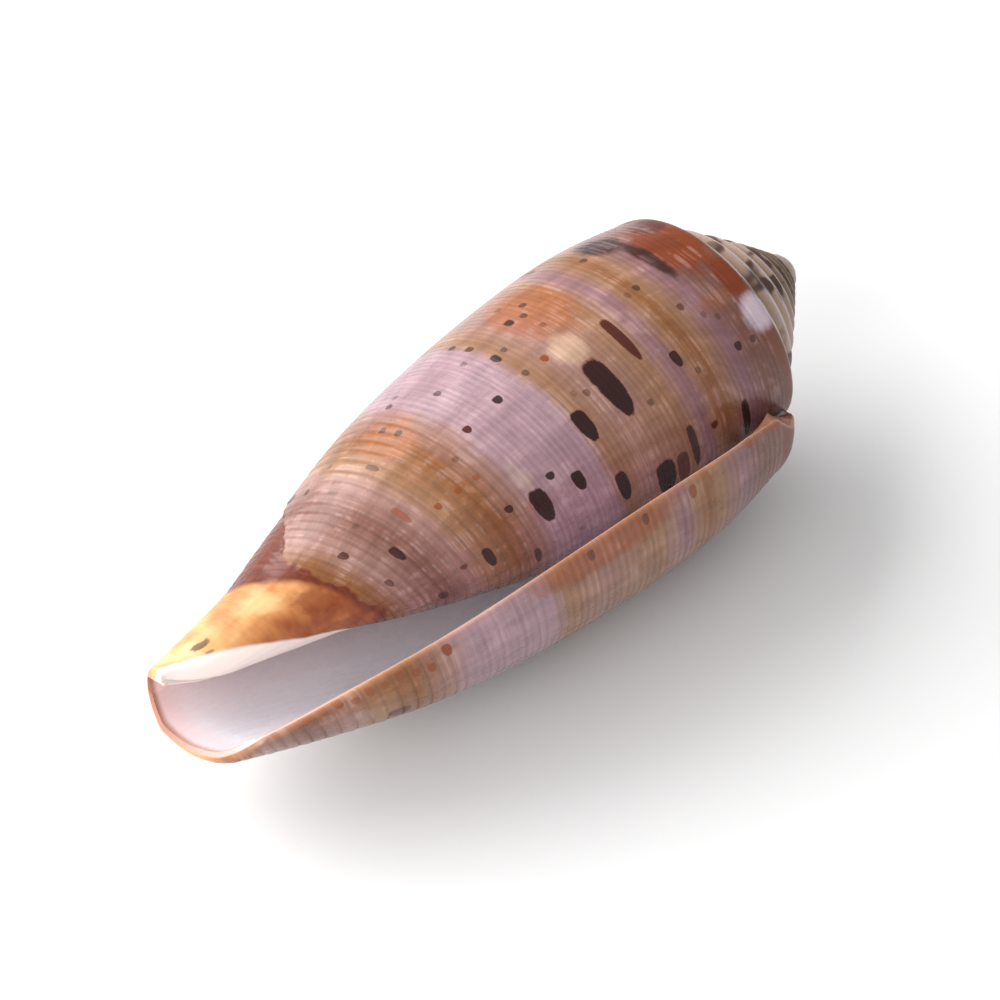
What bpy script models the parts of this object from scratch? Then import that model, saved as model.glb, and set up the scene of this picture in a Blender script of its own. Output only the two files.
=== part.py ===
"""A dried cone shell lying on its side on a flat floor, in metres, +Z up.

The shell is one grown piece. Its wall follows one rule: a wall outline that turns around the
shell axis while it widens and lengthens, from the apex to the lip. The same rule gives the
outside, the hollow of the mouth and the twisted pillar in the middle.
"""
import math

import bmesh
import bpy
import numpy as np
from mathutils import Matrix, Vector

OBJECT = "circumcised_cone_shell"

# Length along the shell axis, apex to anterior end
LENGTH = 0.060
# Growth per turn of the body whorl and of the older spire whorls
BODY_WIDENING = 1.4545
BODY_LENGTHENING = 1.3772
SPIRE_WIDENING = 1.225
SPIRE_LENGTHENING = 1.26
BODY_TURNS = 1.05
SPIRE_TURNS = 10

# Outline of the wall at the lip: distance below the apex, distance from the axis
SHOULDER = (0.01185, 0.0123)
WALL = (
    SHOULDER,
    (0.0180, 0.01349),
    (0.0270, 0.01373),
    (0.0372, 0.01289),
    (0.0468, 0.01121),
    (0.0540, 0.00904),
    (0.0594, 0.00714),
    (0.0654, 0.00504),
    (0.0715, 0.00360),
    (0.0770, 0.00130),
    (0.0800, 0.0),
)
# The wall winds in to a pillar of at least this radius. Near the anterior end the pillar leans
# away from the mouth: from this height above the end, this much, that way and this far out
PILLAR_TIP = 0.0004
LEAN_FROM = 0.005
LEAN = 0.0018
LEAN_DEGREES = -250.0
LEAN_REACH = 0.0024
# Old canal ends swell the wall between these distances below the apex: by so much on the back,
# and by less than nothing on the pillar, where they are worn in
SWELL_ROWS = (0.0628, 0.0780)
SWELL = (
    (-390.0, -0.00075),
    (-330.0, 0.0),
    (-260.0, 0.00045),
    (-150.0, 0.00055),
    (-90.0, 0.00060),
    (-40.0, 0.0),
)
# Behind the lip the shoulder of the whorl before bulges a little, down to the second row
BULGE_ROWS = (0.0130, 0.0190)
BULGE = (
    (-540.0, 0.0),
    (-430.0, 0.0008),
    (-400.0, 0.0008),
    (-375.0, 0.00045),
    (-330.0, 0.0),
)
# The next whorl starts this far below the shoulder, and its roof is this thick
SUTURE_DROP = 0.00135
ROOF = 0.0033
ROOF_THICKNESS = 0.0024
KNEE_OUT = 0.86
KNEE_DOWN = 0.78
KNEE_INSET = 0.6
WALL_STEPS = 25
BEYOND_END = 0.0045

# Growth lines and lip: degrees that they lag behind, against the distance below the apex. They
# turn back toward the shoulder, and the ramp lags by as much as the shoulder
LIP_LAG = (
    (SHOULDER[0], 17.0),
    (0.0130, 10.5),
    (0.0142, 7.8),
    (0.0158, 5.6),
    (0.0180, 3.9),
    (0.0200, 2.6),
    (0.0320, 0.2),
    (0.0460, 3.6),
    (0.0540, 10.1),
    (0.0600, 20.0),
    (0.0660, 27.0),
)

# The lip is fixed to the whorl before this many degrees farther back. Rows below the second one
# don't turn back, and neither do growth lines farther off than the reach
FIXED_BACK = 25.0
FIXED_ROWS = (0.0165, 0.0215)
FIXED_REACH = 60.0

# Wall thickness against degrees inside the mouth; it gets less where the wall winds in tight
THICKNESS = (
    (0.0, 0.00055),
    (40.0, 0.00175),
    (75.0, 0.0021),
    (110.0, 0.0020),
    (135.0, 0.0018),
    (200.0, 0.0009),
    (300.0, 0.0009),
)
FULL_THICKNESS_RADIUS = 0.009
# How far inside the mouth the hollow goes, and the shares of the wall between which that changes
HOLLOW_TOP_DEGREES = 300.0
HOLLOW_CANAL_DEGREES = 170.0
HOLLOW_CLOSES = (0.45, 0.85)

# Blunt tip: where the whorls end under it, and how far its top lies under the ideal point
TIP_BASE = 0.0014
TIP_WEAR = 0.0003
# Cut at the anterior end: its place on the axis, and degrees that it leans back at the lip
END_CUT = -0.0006
END_TILT = 8.0
# A second cut takes off the corner behind the pillar: its place on the axis, and how much it
# rises for each unit out toward the first growth angle and toward the second
BACK_CUT = -0.0007
BACK_RISE = ((0.0, -0.10), (90.0, 0.18))
STEPS_PER_TURN = 36
# Corners this close are one corner, and corners this close to a cut lie on it
MERGE = 1e-6
ON_CUT = 1e-5
SHARP_DEGREES = 40.0

# How the shell lies: lip edge from straight up around the axis, and rise of the apex
LIP_FROM_TOP = 72.2
APEX_RISE = 2.8


def natural_spline(knots, values, wanted):
    """Smooth curve through the knots, straight at both ends and beyond them."""
    knots = np.asarray(knots, float)
    values = np.asarray(values, float)
    gaps = np.diff(knots)
    slopes = np.diff(values) / gaps
    count = len(knots)
    matrix = np.eye(count)
    right = np.zeros(count)
    for i in range(1, count - 1):
        matrix[i, i - 1] = gaps[i - 1]
        matrix[i, i] = 2.0 * (gaps[i - 1] + gaps[i])
        matrix[i, i + 1] = gaps[i]
        right[i] = 6.0 * (slopes[i] - slopes[i - 1])
    bend = np.linalg.solve(matrix, right)
    wanted = np.clip(np.asarray(wanted, float), knots[0], knots[-1])
    i = np.clip(np.searchsorted(knots, wanted) - 1, 0, count - 2)
    before = wanted - knots[i]
    after = knots[i + 1] - wanted
    gap = gaps[i]
    curve = (bend[i] * after ** 3 + bend[i + 1] * before ** 3) / (6.0 * gap)
    curve += (values[i] / gap - bend[i] * gap / 6.0) * after
    curve += (values[i + 1] / gap - bend[i + 1] * gap / 6.0) * before
    return curve


def wall_radius(drop):
    """Distance of the lip-stage wall from the axis, at a distance below the apex."""
    drops, radii = zip(*WALL)
    return np.maximum(natural_spline(drops, radii, drop), PILLAR_TIP)


def lag(drop):
    """Degrees that the growth line lags at a distance below the apex."""
    drops, degrees = zip(*LIP_LAG)
    return natural_spline(drops, degrees, drop)


def growth(degrees, body_rate, spire_rate):
    """Size of a growth stage against the lip stage; degrees are 0 at the lip, negative before it."""
    turns = -degrees / 360.0
    body_turns = min(turns, BODY_TURNS)
    return body_rate ** -body_turns * spire_rate ** (body_turns - turns)


def widening(degrees):
    return growth(degrees, BODY_WIDENING, SPIRE_WIDENING)


def lengthening(degrees):
    return growth(degrees, BODY_LENGTHENING, SPIRE_LENGTHENING)


def around_axis(degrees):
    """Direction from the axis to the growth line of that many degrees; 0 is toward the lip."""
    angle = math.radians(LIP_FROM_TOP - degrees)
    return Vector((0.0, -math.sin(angle), math.cos(angle)))


def place(degrees, drop, radius):
    """Point of the lying shell, from growth angle, distance below the apex and radius."""
    height = LENGTH - drop
    share = min(max(1.0 - height / LEAN_FROM, 0.0), 1.0)
    lean = LEAN * share ** 2 * math.exp(-(radius / LEAN_REACH) ** 2)
    along = Vector((height, 0.0, 0.0))
    return along + radius * around_axis(degrees) + lean * around_axis(LEAN_DEGREES)


def grown(degrees, drop, radius):
    """A point of the lip-stage outline, at the size that it has at another growth stage."""
    return drop * lengthening(degrees), radius * widening(degrees)


def share_between(value, bounds):
    """Share of the way from the first bound to the second, from 0 to 1."""
    return min(max((value - bounds[0]) / (bounds[1] - bounds[0]), 0.0), 1.0)


def face_radius(degrees, drop):
    """Lip-stage distance of the wall from the axis, with the swellings of a growth stage."""
    swell = float(np.interp(degrees, *zip(*SWELL)))
    swell *= math.sin(math.pi * share_between(drop, SWELL_ROWS))
    bulge = float(np.interp(degrees, *zip(*BULGE)))
    bulge *= math.cos(math.pi / 2.0 * share_between(drop, BULGE_ROWS)) ** 2
    return max(float(wall_radius(drop)) + swell + bulge, PILLAR_TIP)


def growth_line(degrees, drop):
    """Growth angle of a growth line at a distance below the apex."""
    off = min(abs(degrees + 360.0) / FIXED_REACH, 1.0)
    back = FIXED_BACK * math.cos(math.pi / 2.0 * off) ** 2
    back *= math.cos(math.pi / 2.0 * share_between(drop, FIXED_ROWS)) ** 2
    return degrees - float(lag(drop)) - back


def wall_point(degrees, drop, thickness=0.0):
    """Point of the wall on the growth line of this stage, or that far inside its face."""
    stage = growth_line(degrees, drop)
    real_drop, radius = grown(stage, drop, face_radius(stage, drop))
    slim = min(1.0, radius / FULL_THICKNESS_RADIUS)
    return place(stage, real_drop, radius - thickness * slim)


# Outline rows where the next whorl begins and where its roof ends inside
SUTURE_ROW = SHOULDER[0] + SUTURE_DROP
ROOF_ROW = SUTURE_ROW + ROOF
END_LAG = LIP_LAG[-1][1]
# Shares of the way from the roof to the anterior end
SHARES = [i / (WALL_STEPS - 1) for i in range(WALL_STEPS)]


def ramp_outline(stage):
    """Suture, knee and shoulder at one growth stage, as distances below the apex and radii."""
    start = grown(stage - 360.0, SUTURE_ROW, face_radius(stage - 360.0, SUTURE_ROW))
    end = grown(stage, SHOULDER[0], face_radius(stage, SHOULDER[0]))
    knee_drop = start[0] + (end[0] - start[0]) * KNEE_DOWN
    knee_radius = start[1] + (end[1] - start[1]) * KNEE_OUT
    return start, (knee_drop, knee_radius), end


def ramp_column(degrees):
    """The ramp along one growth line, from its own suture to the suture of the next whorl."""
    stage = growth_line(degrees, SHOULDER[0])
    _, knee, shoulder = ramp_outline(stage)
    return [
        wall_point(degrees - 360.0, SUTURE_ROW),
        place(stage, *knee),
        place(stage, *shoulder),
        wall_point(degrees, SUTURE_ROW),
    ]


def wall_row(degrees, share):
    """Lip-stage distance below the apex, at a share of the way from roof to anterior end."""
    end = (LENGTH + BEYOND_END) / lengthening(degrees - END_LAG)
    return ROOF_ROW + (end - ROOF_ROW) * share


def wall_column(degrees):
    """The outer wall of one growth stage, from the next suture to past the anterior end."""
    rows = [wall_row(degrees, share) for share in SHARES]
    return [wall_point(degrees, drop) for drop in [SUTURE_ROW] + rows]


def thickness(degrees):
    """Wall thickness of a growth stage: thin at the lip, full a little inside the mouth."""
    inside, sizes = zip(*THICKNESS)
    return float(np.interp(-degrees, inside, sizes))


def hollow_degrees(share):
    """How far inside the lip the hollow ends, at a share of the way to the anterior end."""
    return float(np.interp(share, HOLLOW_CLOSES, (HOLLOW_TOP_DEGREES, HOLLOW_CANAL_DEGREES)))


def inner_column(depth):
    """Inner face of the mouth wall, roof first; depth is 0 at the lip and 1 at the deep end."""
    degrees = -depth * HOLLOW_TOP_DEGREES
    wall = thickness(degrees)
    roof = ROOF_THICKNESS * widening(degrees)
    stage = growth_line(degrees, SHOULDER[0] + ROOF_THICKNESS)
    _, knee, shoulder = ramp_outline(stage)
    knee_point = place(stage, knee[0] + roof, knee[1] - KNEE_INSET * wall)
    shoulder_point = place(stage, shoulder[0] + roof, shoulder[1] - wall)
    column = [wall_point(degrees - 360.0, ROOF_ROW), knee_point, shoulder_point]
    for share in SHARES:
        degrees = -depth * hollow_degrees(share)
        column.append(wall_point(degrees, wall_row(degrees, share), thickness(degrees)))
    return column


def pillar_column(depth):
    """Outer face of the whorl before, inside the mouth, from the roof down."""
    column = []
    for share in SHARES:
        degrees = -360.0 - depth * hollow_degrees(share)
        column.append(wall_point(degrees, wall_row(degrees, share)))
    return column


def loft(mesh, columns):
    """Faces between neighbouring columns of points."""
    rows = [[mesh.verts.new(point) for point in column] for column in columns]
    for left, right in zip(rows, rows[1:]):
        for i in range(len(left) - 1):
            mesh.faces.new((left[i], left[i + 1], right[i + 1], right[i]))


def grow_shell(mesh):
    """All faces of the shell, still without its tip and with its anterior end too long."""
    step = 360.0 / STEPS_PER_TURN
    # Ramps of all whorls, from the apex to the lip
    turns = range(-SPIRE_TURNS * STEPS_PER_TURN, 1)
    loft(mesh, [ramp_column(step * i) for i in turns])
    # Outer wall of the last turn
    outside = [wall_column(step * i) for i in range(-STEPS_PER_TURN, 1)]
    loft(mesh, outside)
    # Hollow of the mouth: inner face of the wall, pillar, and the face that ends it
    depth_steps = round(HOLLOW_TOP_DEGREES / step)
    inside = [inner_column(i / depth_steps) for i in range(depth_steps + 1)]
    pillar = [pillar_column(i / depth_steps) for i in range(depth_steps + 1)]
    loft(mesh, inside)
    loft(mesh, pillar)
    # The column that ends the hollow has more rows than the pillar, so the roof end is repeated
    roof_end = [pillar[-1][0]] * (len(inside[-1]) - len(pillar[-1]))
    loft(mesh, [inside[-1], roof_end + pillar[-1]])
    # Lip edge; the inner shoulder stands for the outer shoulder and the row under it
    outer_lip = ramp_column(0.0)[:3] + outside[-1]
    inner_lip = inside[0][:3] + inside[0][2:]
    loft(mesh, [outer_lip, inner_lip])
    bmesh.ops.remove_doubles(mesh, verts=mesh.verts, dist=MERGE)


def cut_across(mesh, point, outward):
    """Cut the shell flat, take away what lies outward and close the cut with one face."""
    everything = mesh.verts[:] + mesh.edges[:] + mesh.faces[:]
    bmesh.ops.bisect_plane(
        mesh,
        geom=everything,
        dist=MERGE,
        plane_co=point,
        plane_no=outward,
        clear_outer=True,
    )
    rim = []
    for edge in mesh.edges:
        gap = max(abs((vert.co - point).dot(outward)) for vert in edge.verts)
        if edge.is_boundary and gap < ON_CUT:
            rim.append(edge)
    return bmesh.ops.contextual_create(mesh, geom=rim)["faces"][0]


def close_ends(mesh):
    """The blunt tip over the oldest whorl, and the flat anterior end with its open canal."""
    tip_base = cut_across(mesh, Vector((LENGTH - TIP_BASE, 0.0, 0.0)), Vector((1.0, 0.0, 0.0)))
    tip = bmesh.ops.poke(mesh, faces=[tip_base])["verts"][0]
    tip.co = (LENGTH - TIP_WEAR, 0.0, 0.0)
    tilt = math.radians(END_TILT)
    outward = around_axis(0.0) * math.sin(tilt) - Vector((math.cos(tilt), 0.0, 0.0))
    cut_across(mesh, Vector((END_CUT, 0.0, 0.0)), outward)
    outward = Vector((-1.0, 0.0, 0.0))
    for degrees, rise in BACK_RISE:
        outward += around_axis(degrees) * rise
    cut_across(mesh, Vector((BACK_CUT, 0.0, 0.0)), outward.normalized())


def shell_material():
    material = bpy.data.materials.new("glossy_shell")
    material.use_nodes = True
    shader = material.node_tree.nodes["Principled BSDF"]
    shader.inputs["Base Color"].default_value = (0.62, 0.36, 0.24, 1.0)
    shader.inputs["Roughness"].default_value = 0.3
    shader.inputs["Metallic"].default_value = 0.0
    return material


def make_shell(collection):
    mesh = bmesh.new()
    grow_shell(mesh)
    close_ends(mesh)
    bmesh.ops.triangulate(mesh, faces=mesh.faces[:])
    bmesh.ops.recalc_face_normals(mesh, faces=mesh.faces[:])
    # Lay the shell down: the apex a little up, the lowest point on the floor
    bmesh.ops.rotate(mesh, verts=mesh.verts, matrix=Matrix.Rotation(-math.radians(APEX_RISE), 3, "Y"))
    low = [min(vert.co[i] for vert in mesh.verts) for i in range(3)]
    high = [max(vert.co[i] for vert in mesh.verts) for i in range(3)]
    middle = Vector(((low[0] + high[0]) / 2, (low[1] + high[1]) / 2, low[2]))
    bmesh.ops.translate(mesh, verts=mesh.verts, vec=-middle)
    data = bpy.data.meshes.new("shell")
    mesh.to_mesh(data)
    mesh.free()
    data.shade_smooth()
    data.set_sharp_from_angle(angle=math.radians(SHARP_DEGREES))
    shell = bpy.data.objects.new("shell", data)
    shell.data.materials.append(shell_material())
    collection.objects.link(shell)
    return shell


def main():
    for old in list(bpy.data.objects):
        bpy.data.objects.remove(old)
    collection = bpy.data.collections.new(OBJECT)
    bpy.context.scene.collection.children.link(collection)
    make_shell(collection)


main()
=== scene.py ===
# %% [markdown]
# A dried cone shell on a pale floor. The solid from the frame gives its place and size. Over it
# goes one finer skin with the same growth rule, with the cords, the worn neck, the thin lip and
# the painted pattern that a solid of few faces can't hold. All sizes are metres, angles degrees.

# %% Load the solid
import math

import bmesh
import bpy
import numpy as np
from mathutils import Matrix, Vector


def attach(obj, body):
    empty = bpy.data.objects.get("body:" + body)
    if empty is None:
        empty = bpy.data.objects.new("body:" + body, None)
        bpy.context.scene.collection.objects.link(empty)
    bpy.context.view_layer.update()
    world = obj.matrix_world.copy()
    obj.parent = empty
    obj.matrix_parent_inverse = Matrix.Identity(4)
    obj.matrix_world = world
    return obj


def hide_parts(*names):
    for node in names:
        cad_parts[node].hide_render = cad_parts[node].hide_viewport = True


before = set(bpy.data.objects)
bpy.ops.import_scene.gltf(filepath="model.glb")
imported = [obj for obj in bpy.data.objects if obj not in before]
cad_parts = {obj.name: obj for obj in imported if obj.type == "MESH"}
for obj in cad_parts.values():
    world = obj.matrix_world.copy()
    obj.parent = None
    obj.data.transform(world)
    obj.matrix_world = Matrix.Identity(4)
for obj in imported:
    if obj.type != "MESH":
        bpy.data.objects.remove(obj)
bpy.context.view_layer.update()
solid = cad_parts["shell"]
MM = 0.001

# %% [markdown]
# A snail builds its shell at the lip, and each new edge is the last one turned a little and made
# a little bigger. So every point has two numbers: how many degrees before today's lip it was
# built, and how far below the apex its place on the lip outline is. One could draw a spiral and
# sweep a section along it, but the section changes its size and its slant as it goes. A rule
# that places each point is simpler, and it is the rule that the solid was made by.

# %% The growth rule
LENGTH = 0.060
# Growth for each turn in width and in length, and the turns of the body, before which the spire
# has rates of its own
BODY_WIDENING = 1.4545
BODY_LENGTHENING = 1.3772
SPIRE_WIDENING = 1.225
SPIRE_LENGTHENING = 1.26
BODY_TURNS = 1.05
SHOULDER = (0.01185, 0.0123)
# Outline at the lip: distance below the apex, distance from the axis
WALL = (
    SHOULDER, (0.0180, 0.01349), (0.0270, 0.01373), (0.0372, 0.01289),
    (0.0468, 0.01121), (0.0540, 0.00904), (0.0594, 0.00714), (0.0654, 0.00504),
    (0.0715, 0.00360), (0.0770, 0.00130), (0.0800, 0.0),
)
# Slant of the growth lines: degrees that they lag behind, against the distance below the apex
LIP_LAG = (
    (SHOULDER[0], 17.0), (0.0130, 10.5), (0.0142, 7.8), (0.0158, 5.6),
    (0.0180, 3.9), (0.0200, 2.6), (0.0320, 0.2), (0.0460, 3.6),
    (0.0540, 10.1), (0.0600, 20.0), (0.0660, 27.0),
)
PILLAR_TIP = 0.0004
# Old canal ends swell the wall between these rows, by so much against the growth angle
SWELL_ROWS = (0.0628, 0.0780)
SWELL = (
    (-390.0, -0.00075), (-330.0, 0.0), (-260.0, 0.00045), (-150.0, 0.00055),
    (-90.0, 0.00060), (-40.0, 0.0),
)
# Behind the lip the shoulder of the whorl before bulges a little, down to the second row
BULGE_ROWS = (0.0130, 0.0190)
BULGE = (
    (-540.0, 0.0), (-430.0, 0.0008), (-400.0, 0.0008), (-375.0, 0.00045),
    (-330.0, 0.0),
)
# The lip is fixed to the whorl before this many degrees farther back, above the second row
FIXED_BACK = 25.0
FIXED_ROWS = (0.0165, 0.0215)
FIXED_REACH = 60.0


def natural_spline(knots, values, wanted):
    """Smooth curve through the knots, straight at both ends."""
    knots = np.asarray(knots, float)
    values = np.asarray(values, float)
    gaps = np.diff(knots)
    slopes = np.diff(values, axis=0) / gaps.reshape(-1, *[1] * (values.ndim - 1))
    count = len(knots)
    matrix = np.eye(count)
    right = np.zeros(values.shape)
    for i in range(1, count - 1):
        matrix[i, i - 1] = gaps[i - 1]
        matrix[i, i] = 2.0 * (gaps[i - 1] + gaps[i])
        matrix[i, i + 1] = gaps[i]
        right[i] = 6.0 * (slopes[i] - slopes[i - 1])
    bend = np.linalg.solve(matrix, right.reshape(count, -1)).reshape(values.shape)
    wanted = np.clip(np.asarray(wanted, float), knots[0], knots[-1])
    i = np.clip(np.searchsorted(knots, wanted) - 1, 0, count - 2)
    shape = wanted.shape + (1,) * (values.ndim - 1)
    before = (wanted - knots[i]).reshape(shape)
    after = (knots[i + 1] - wanted).reshape(shape)
    gap = gaps[i].reshape(shape)
    curve = (bend[i] * after ** 3 + bend[i + 1] * before ** 3) / (6.0 * gap)
    curve = curve + (values[i] / gap - bend[i] * gap / 6.0) * after
    return curve + (values[i + 1] / gap - bend[i + 1] * gap / 6.0) * before


def wall_radius(drop):
    return np.maximum(natural_spline(*zip(*WALL), drop), PILLAR_TIP)


def lag(drop):
    return natural_spline(*zip(*LIP_LAG), drop)


def share_between(value, bounds):
    return np.clip((value - bounds[0]) / (bounds[1] - bounds[0]), 0.0, 1.0)


def fall_off(share):
    """Bell that falls from 1 to 0 while the share goes from 0 to 1."""
    return np.cos(np.pi / 2.0 * share) ** 2


def growth_line(degrees, drop):
    """Growth angle of a growth line at a distance below the apex."""
    off = np.minimum(abs(degrees + 360.0) / FIXED_REACH, 1.0)
    back = FIXED_BACK * fall_off(off) * fall_off(share_between(drop, FIXED_ROWS))
    return degrees - lag(drop) - back


def growth(degrees, body_rate, spire_rate):
    """Size of a growth stage against the lip; degrees are 0 at the lip, negative before it."""
    turns = -np.asarray(degrees, float) / 360.0
    body_turns = np.minimum(turns, BODY_TURNS)
    return body_rate ** -body_turns * spire_rate ** (body_turns - turns)


def widening(degrees):
    return growth(degrees, BODY_WIDENING, SPIRE_WIDENING)


def lengthening(degrees):
    return growth(degrees, BODY_LENGTHENING, SPIRE_LENGTHENING)


def face_radius(stage, drop):
    """Real radius of the wall at a growth stage and a lip-stage distance below the apex."""
    swell = np.interp(stage, *zip(*SWELL)) * np.sin(np.pi * share_between(drop, SWELL_ROWS))
    bulge = np.interp(stage, *zip(*BULGE)) * fall_off(share_between(drop, BULGE_ROWS))
    return np.maximum(wall_radius(drop) + swell + bulge, PILLAR_TIP) * widening(stage)


print("size one turn before the lip:", round(float(widening(-360.0)), 3), "wide",
      round(float(lengthening(-360.0)), 3), "long")

# %% [markdown]
# The shell lies on its side, with the lip low at the front and the apex a little up. The tip of
# the solid's spire is a corner that both models share, so the skin is placed by it, and no
# distance has to be copied.

# %% How the shell lies
LIP_FROM_TOP = 72.2
APEX_RISE = 2.8
TIP_WEAR = 0.0003
# Near the axis the end of the pillar leans to one side: from so far above the anterior end, by so
# much, toward this growth angle, and within this distance from the axis
LEAN_FROM = 0.005
LEAN = 0.0018
LEAN_DEGREES = -250.0
LEAN_REACH = 0.0024
TURN = np.array(Matrix.Rotation(-math.radians(APEX_RISE), 3, "Y"))
solid_tip = np.array(max((corner.co for corner in solid.data.vertices), key=lambda co: co.x))
MOVE = solid_tip - TURN @ np.array([LENGTH - TIP_WEAR, 0.0, 0.0])


def around_axis(degrees):
    """Direction from the axis to a growth angle; 0 is toward the lip."""
    angle = np.radians(LIP_FROM_TOP - np.asarray(degrees, float))
    return np.stack([0.0 * angle, -np.sin(angle), np.cos(angle)], axis=-1)


def place(degrees, drop, radius):
    """Places on the lying shell, from growth angle, distance below the apex and radius."""
    degrees, drop, radius = np.broadcast_arrays(degrees, drop, radius)
    height = LENGTH - drop
    share = np.clip(1.0 - height / LEAN_FROM, 0.0, 1.0)
    lean = LEAN * share ** 2 * np.exp(-(radius / LEAN_REACH) ** 2)
    points = radius[..., None] * around_axis(degrees)
    points = points + lean[..., None] * around_axis(LEAN_DEGREES)
    points[..., 0] += height
    return points @ TURN.T + MOVE


print("skin moved by, in mm:", np.round(MOVE / MM, 2))

# %% [markdown]
# The anterior end is cut off almost square, with a second slope behind the pillar, and its corner
# with the lip is worn round. The rim isn't one growth line: for each column the rule is solved
# for the place where it meets the cut.

# %% Where the wall ends
# Heights of the two cuts on the axis, the tilt of the front one in degrees, and the slope of the
# back one toward two growth angles
END_CUT = -0.00054
END_TILT = 8.0
BACK_CUT = -0.00064
BACK_RISE = ((0.0, -0.10), (90.0, 0.18))
CORNER = 0.0022
CORNER_DEGREES = 30.0
END_TRIES = 12


def wall_end(degrees):
    """Lip-stage distance below the apex at which a growth line meets the anterior rim."""
    end = np.full(np.shape(degrees), LENGTH)
    for _ in range(END_TRIES):
        stage = degrees - lag(end)
        out = face_radius(stage, end)
        front = END_CUT + out * np.cos(np.radians(stage)) * math.tan(math.radians(END_TILT))
        back = BACK_CUT
        for direction, rise in BACK_RISE:
            back = back + rise * out * np.cos(np.radians(stage - direction))
        end = (LENGTH - np.maximum(front, back)) / lengthening(stage)
    from_lip = np.clip(-degrees / CORNER_DEGREES, 0.0, 1.0)
    return end - CORNER * (1.0 - np.sqrt(1.0 - (1.0 - from_lip) ** 2))


print("rim below the apex at the lip and a turn before, in lip-stage mm:",
      np.round(wall_end(np.array([0.0, -360.0])) / MM, 2))

# %% [markdown]
# Spiral cords run round the whole body: broad and raised near the anterior end, and fine threads
# above. They follow lines of constant distance on the lip outline. Rows of corners are set to the
# cords, so that each groove has a row of its own. A texture could draw the same lines, but only
# real grooves catch the light and show on the outline.

# %% Cords and rows
# Cord spacing at the lip, against the distance below the apex
CORD_SPACING = (
    (0.0100, 0.00062), (0.0430, 0.00062), (0.0470, 0.00112), (0.0540, 0.00122),
    (0.0575, 0.00088), (0.0850, 0.00085),
)
# Depth of the grooves between them
CORD_DEPTH = (
    (0.0118, 0.000020), (0.0200, 0.000013), (0.0430, 0.000013), (0.0470, 0.000038),
    (0.0520, 0.000055), (0.0620, 0.000055), (0.0660, 0.0),
)
THREADS_END = 0.045
LAST_FIXED = 0.054
CORDS_END = 0.062
# Share of what is left below the last fixed row that the cords take where the wall is short
CORDS_SHARE = 0.8
ROWS_PER_THREAD = 4
ROWS_PER_CORD = 8
SUTURE_ROW = SHOULDER[0] + 0.00135
ROOF_ROW = SUTURE_ROW + 0.0033
RIM_ROWS = (0.0006, 0.00045, 0.0003, 0.00018, 0.00008, 0.00002, 0.0)
CORD_TABLE_SIZE = 2000

cord_table = np.linspace(CORD_SPACING[0][0], CORD_SPACING[-1][0], CORD_TABLE_SIZE)
cord_steps = np.diff(cord_table) / np.interp(cord_table[:-1], *zip(*CORD_SPACING))
cord_counts = np.concatenate([[0.0], np.cumsum(cord_steps)])


def cord_number(drop):
    return np.interp(drop, cord_table, cord_counts)


def rows_between(start, end, per_cord):
    """Rows at a fixed number for each cord, from start up to but not including end."""
    first = math.ceil(cord_number(start) * per_cord + 0.5)
    last = math.floor(cord_number(end) * per_cord - 0.5)
    numbers = np.arange(first, last + 1) / per_cord
    return np.concatenate([[start], np.interp(numbers, cord_counts, cord_table)])


fixed_rows = np.concatenate([
    [SUTURE_ROW],
    rows_between(SUTURE_ROW, ROOF_ROW, ROWS_PER_THREAD)[1:],
    rows_between(ROOF_ROW, THREADS_END, ROWS_PER_THREAD),
    rows_between(THREADS_END, LAST_FIXED, ROWS_PER_CORD),
])
CORD_ROWS = round(float(cord_number(CORDS_END) - cord_number(LAST_FIXED)) * ROWS_PER_CORD)
TAIL_ROWS = 26
roof_index = int(np.argmin(abs(fixed_rows - ROOF_ROW)))


def wall_rows(end):
    """Rows of the wall for each column: fixed ones first, then rows stretched up to its end."""
    end = np.atleast_1d(end)[:, None]
    cords_end = np.minimum(CORDS_END, LAST_FIXED + CORDS_SHARE * (end - LAST_FIXED))
    rim_start = end - RIM_ROWS[0]
    parts = [
        np.repeat(fixed_rows[None], len(end), axis=0),
        LAST_FIXED + (cords_end - LAST_FIXED) * np.arange(CORD_ROWS) / CORD_ROWS,
        cords_end + (rim_start - cords_end) * np.arange(TAIL_ROWS) / TAIL_ROWS,
        end - np.array(RIM_ROWS),
    ]
    return np.concatenate(parts, axis=1)


print("rows on the wall:", wall_rows(LENGTH).shape[1], "of them above the roof row:", roof_index)

# %% [markdown]
# Near the anterior end the cords stop at a ragged edge. Below it lies the neck, a worn strip
# where the cords are gone, and then the fasciole: a swollen band of old canal ends, with fine
# slanted scales. Each is a small change of the wall's depth, so one function gives them all.

# %% Relief of the outer face
SKIN = 0.00006
# Lower edge of the cords, against the growth angle
CORDS_EDGE = (
    (-440.0, 0.0626), (-383.0, 0.0620), (-300.0, 0.0623), (-280.0, 0.0618),
    (-255.0, 0.0593), (-218.0, 0.0529), (-190.0, 0.0508), (-160.0, 0.0516),
    (-130.0, 0.0552), (-105.0, 0.0610), (-80.0, 0.0680), (0.0, 0.0900),
)
# Upper border of the fasciole
FASCIOLE_TOP = (
    (-440.0, 0.0632), (-380.0, 0.0630), (-340.0, 0.0629), (-300.0, 0.0636),
    (-240.0, 0.0640), (-180.0, 0.0634), (-100.0, 0.0630), (0.0, 0.0630),
)
# Upper border of the white callus on the pillar
CALLUS_LINE = (
    (-460.0, 0.0600), (-400.0, 0.0660), (-360.0, 0.0690), (-330.0, 0.0710),
    (-283.0, 0.0735), (-250.0, 0.0749), (-180.0, 0.0770), (0.0, 0.0900),
)
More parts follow.
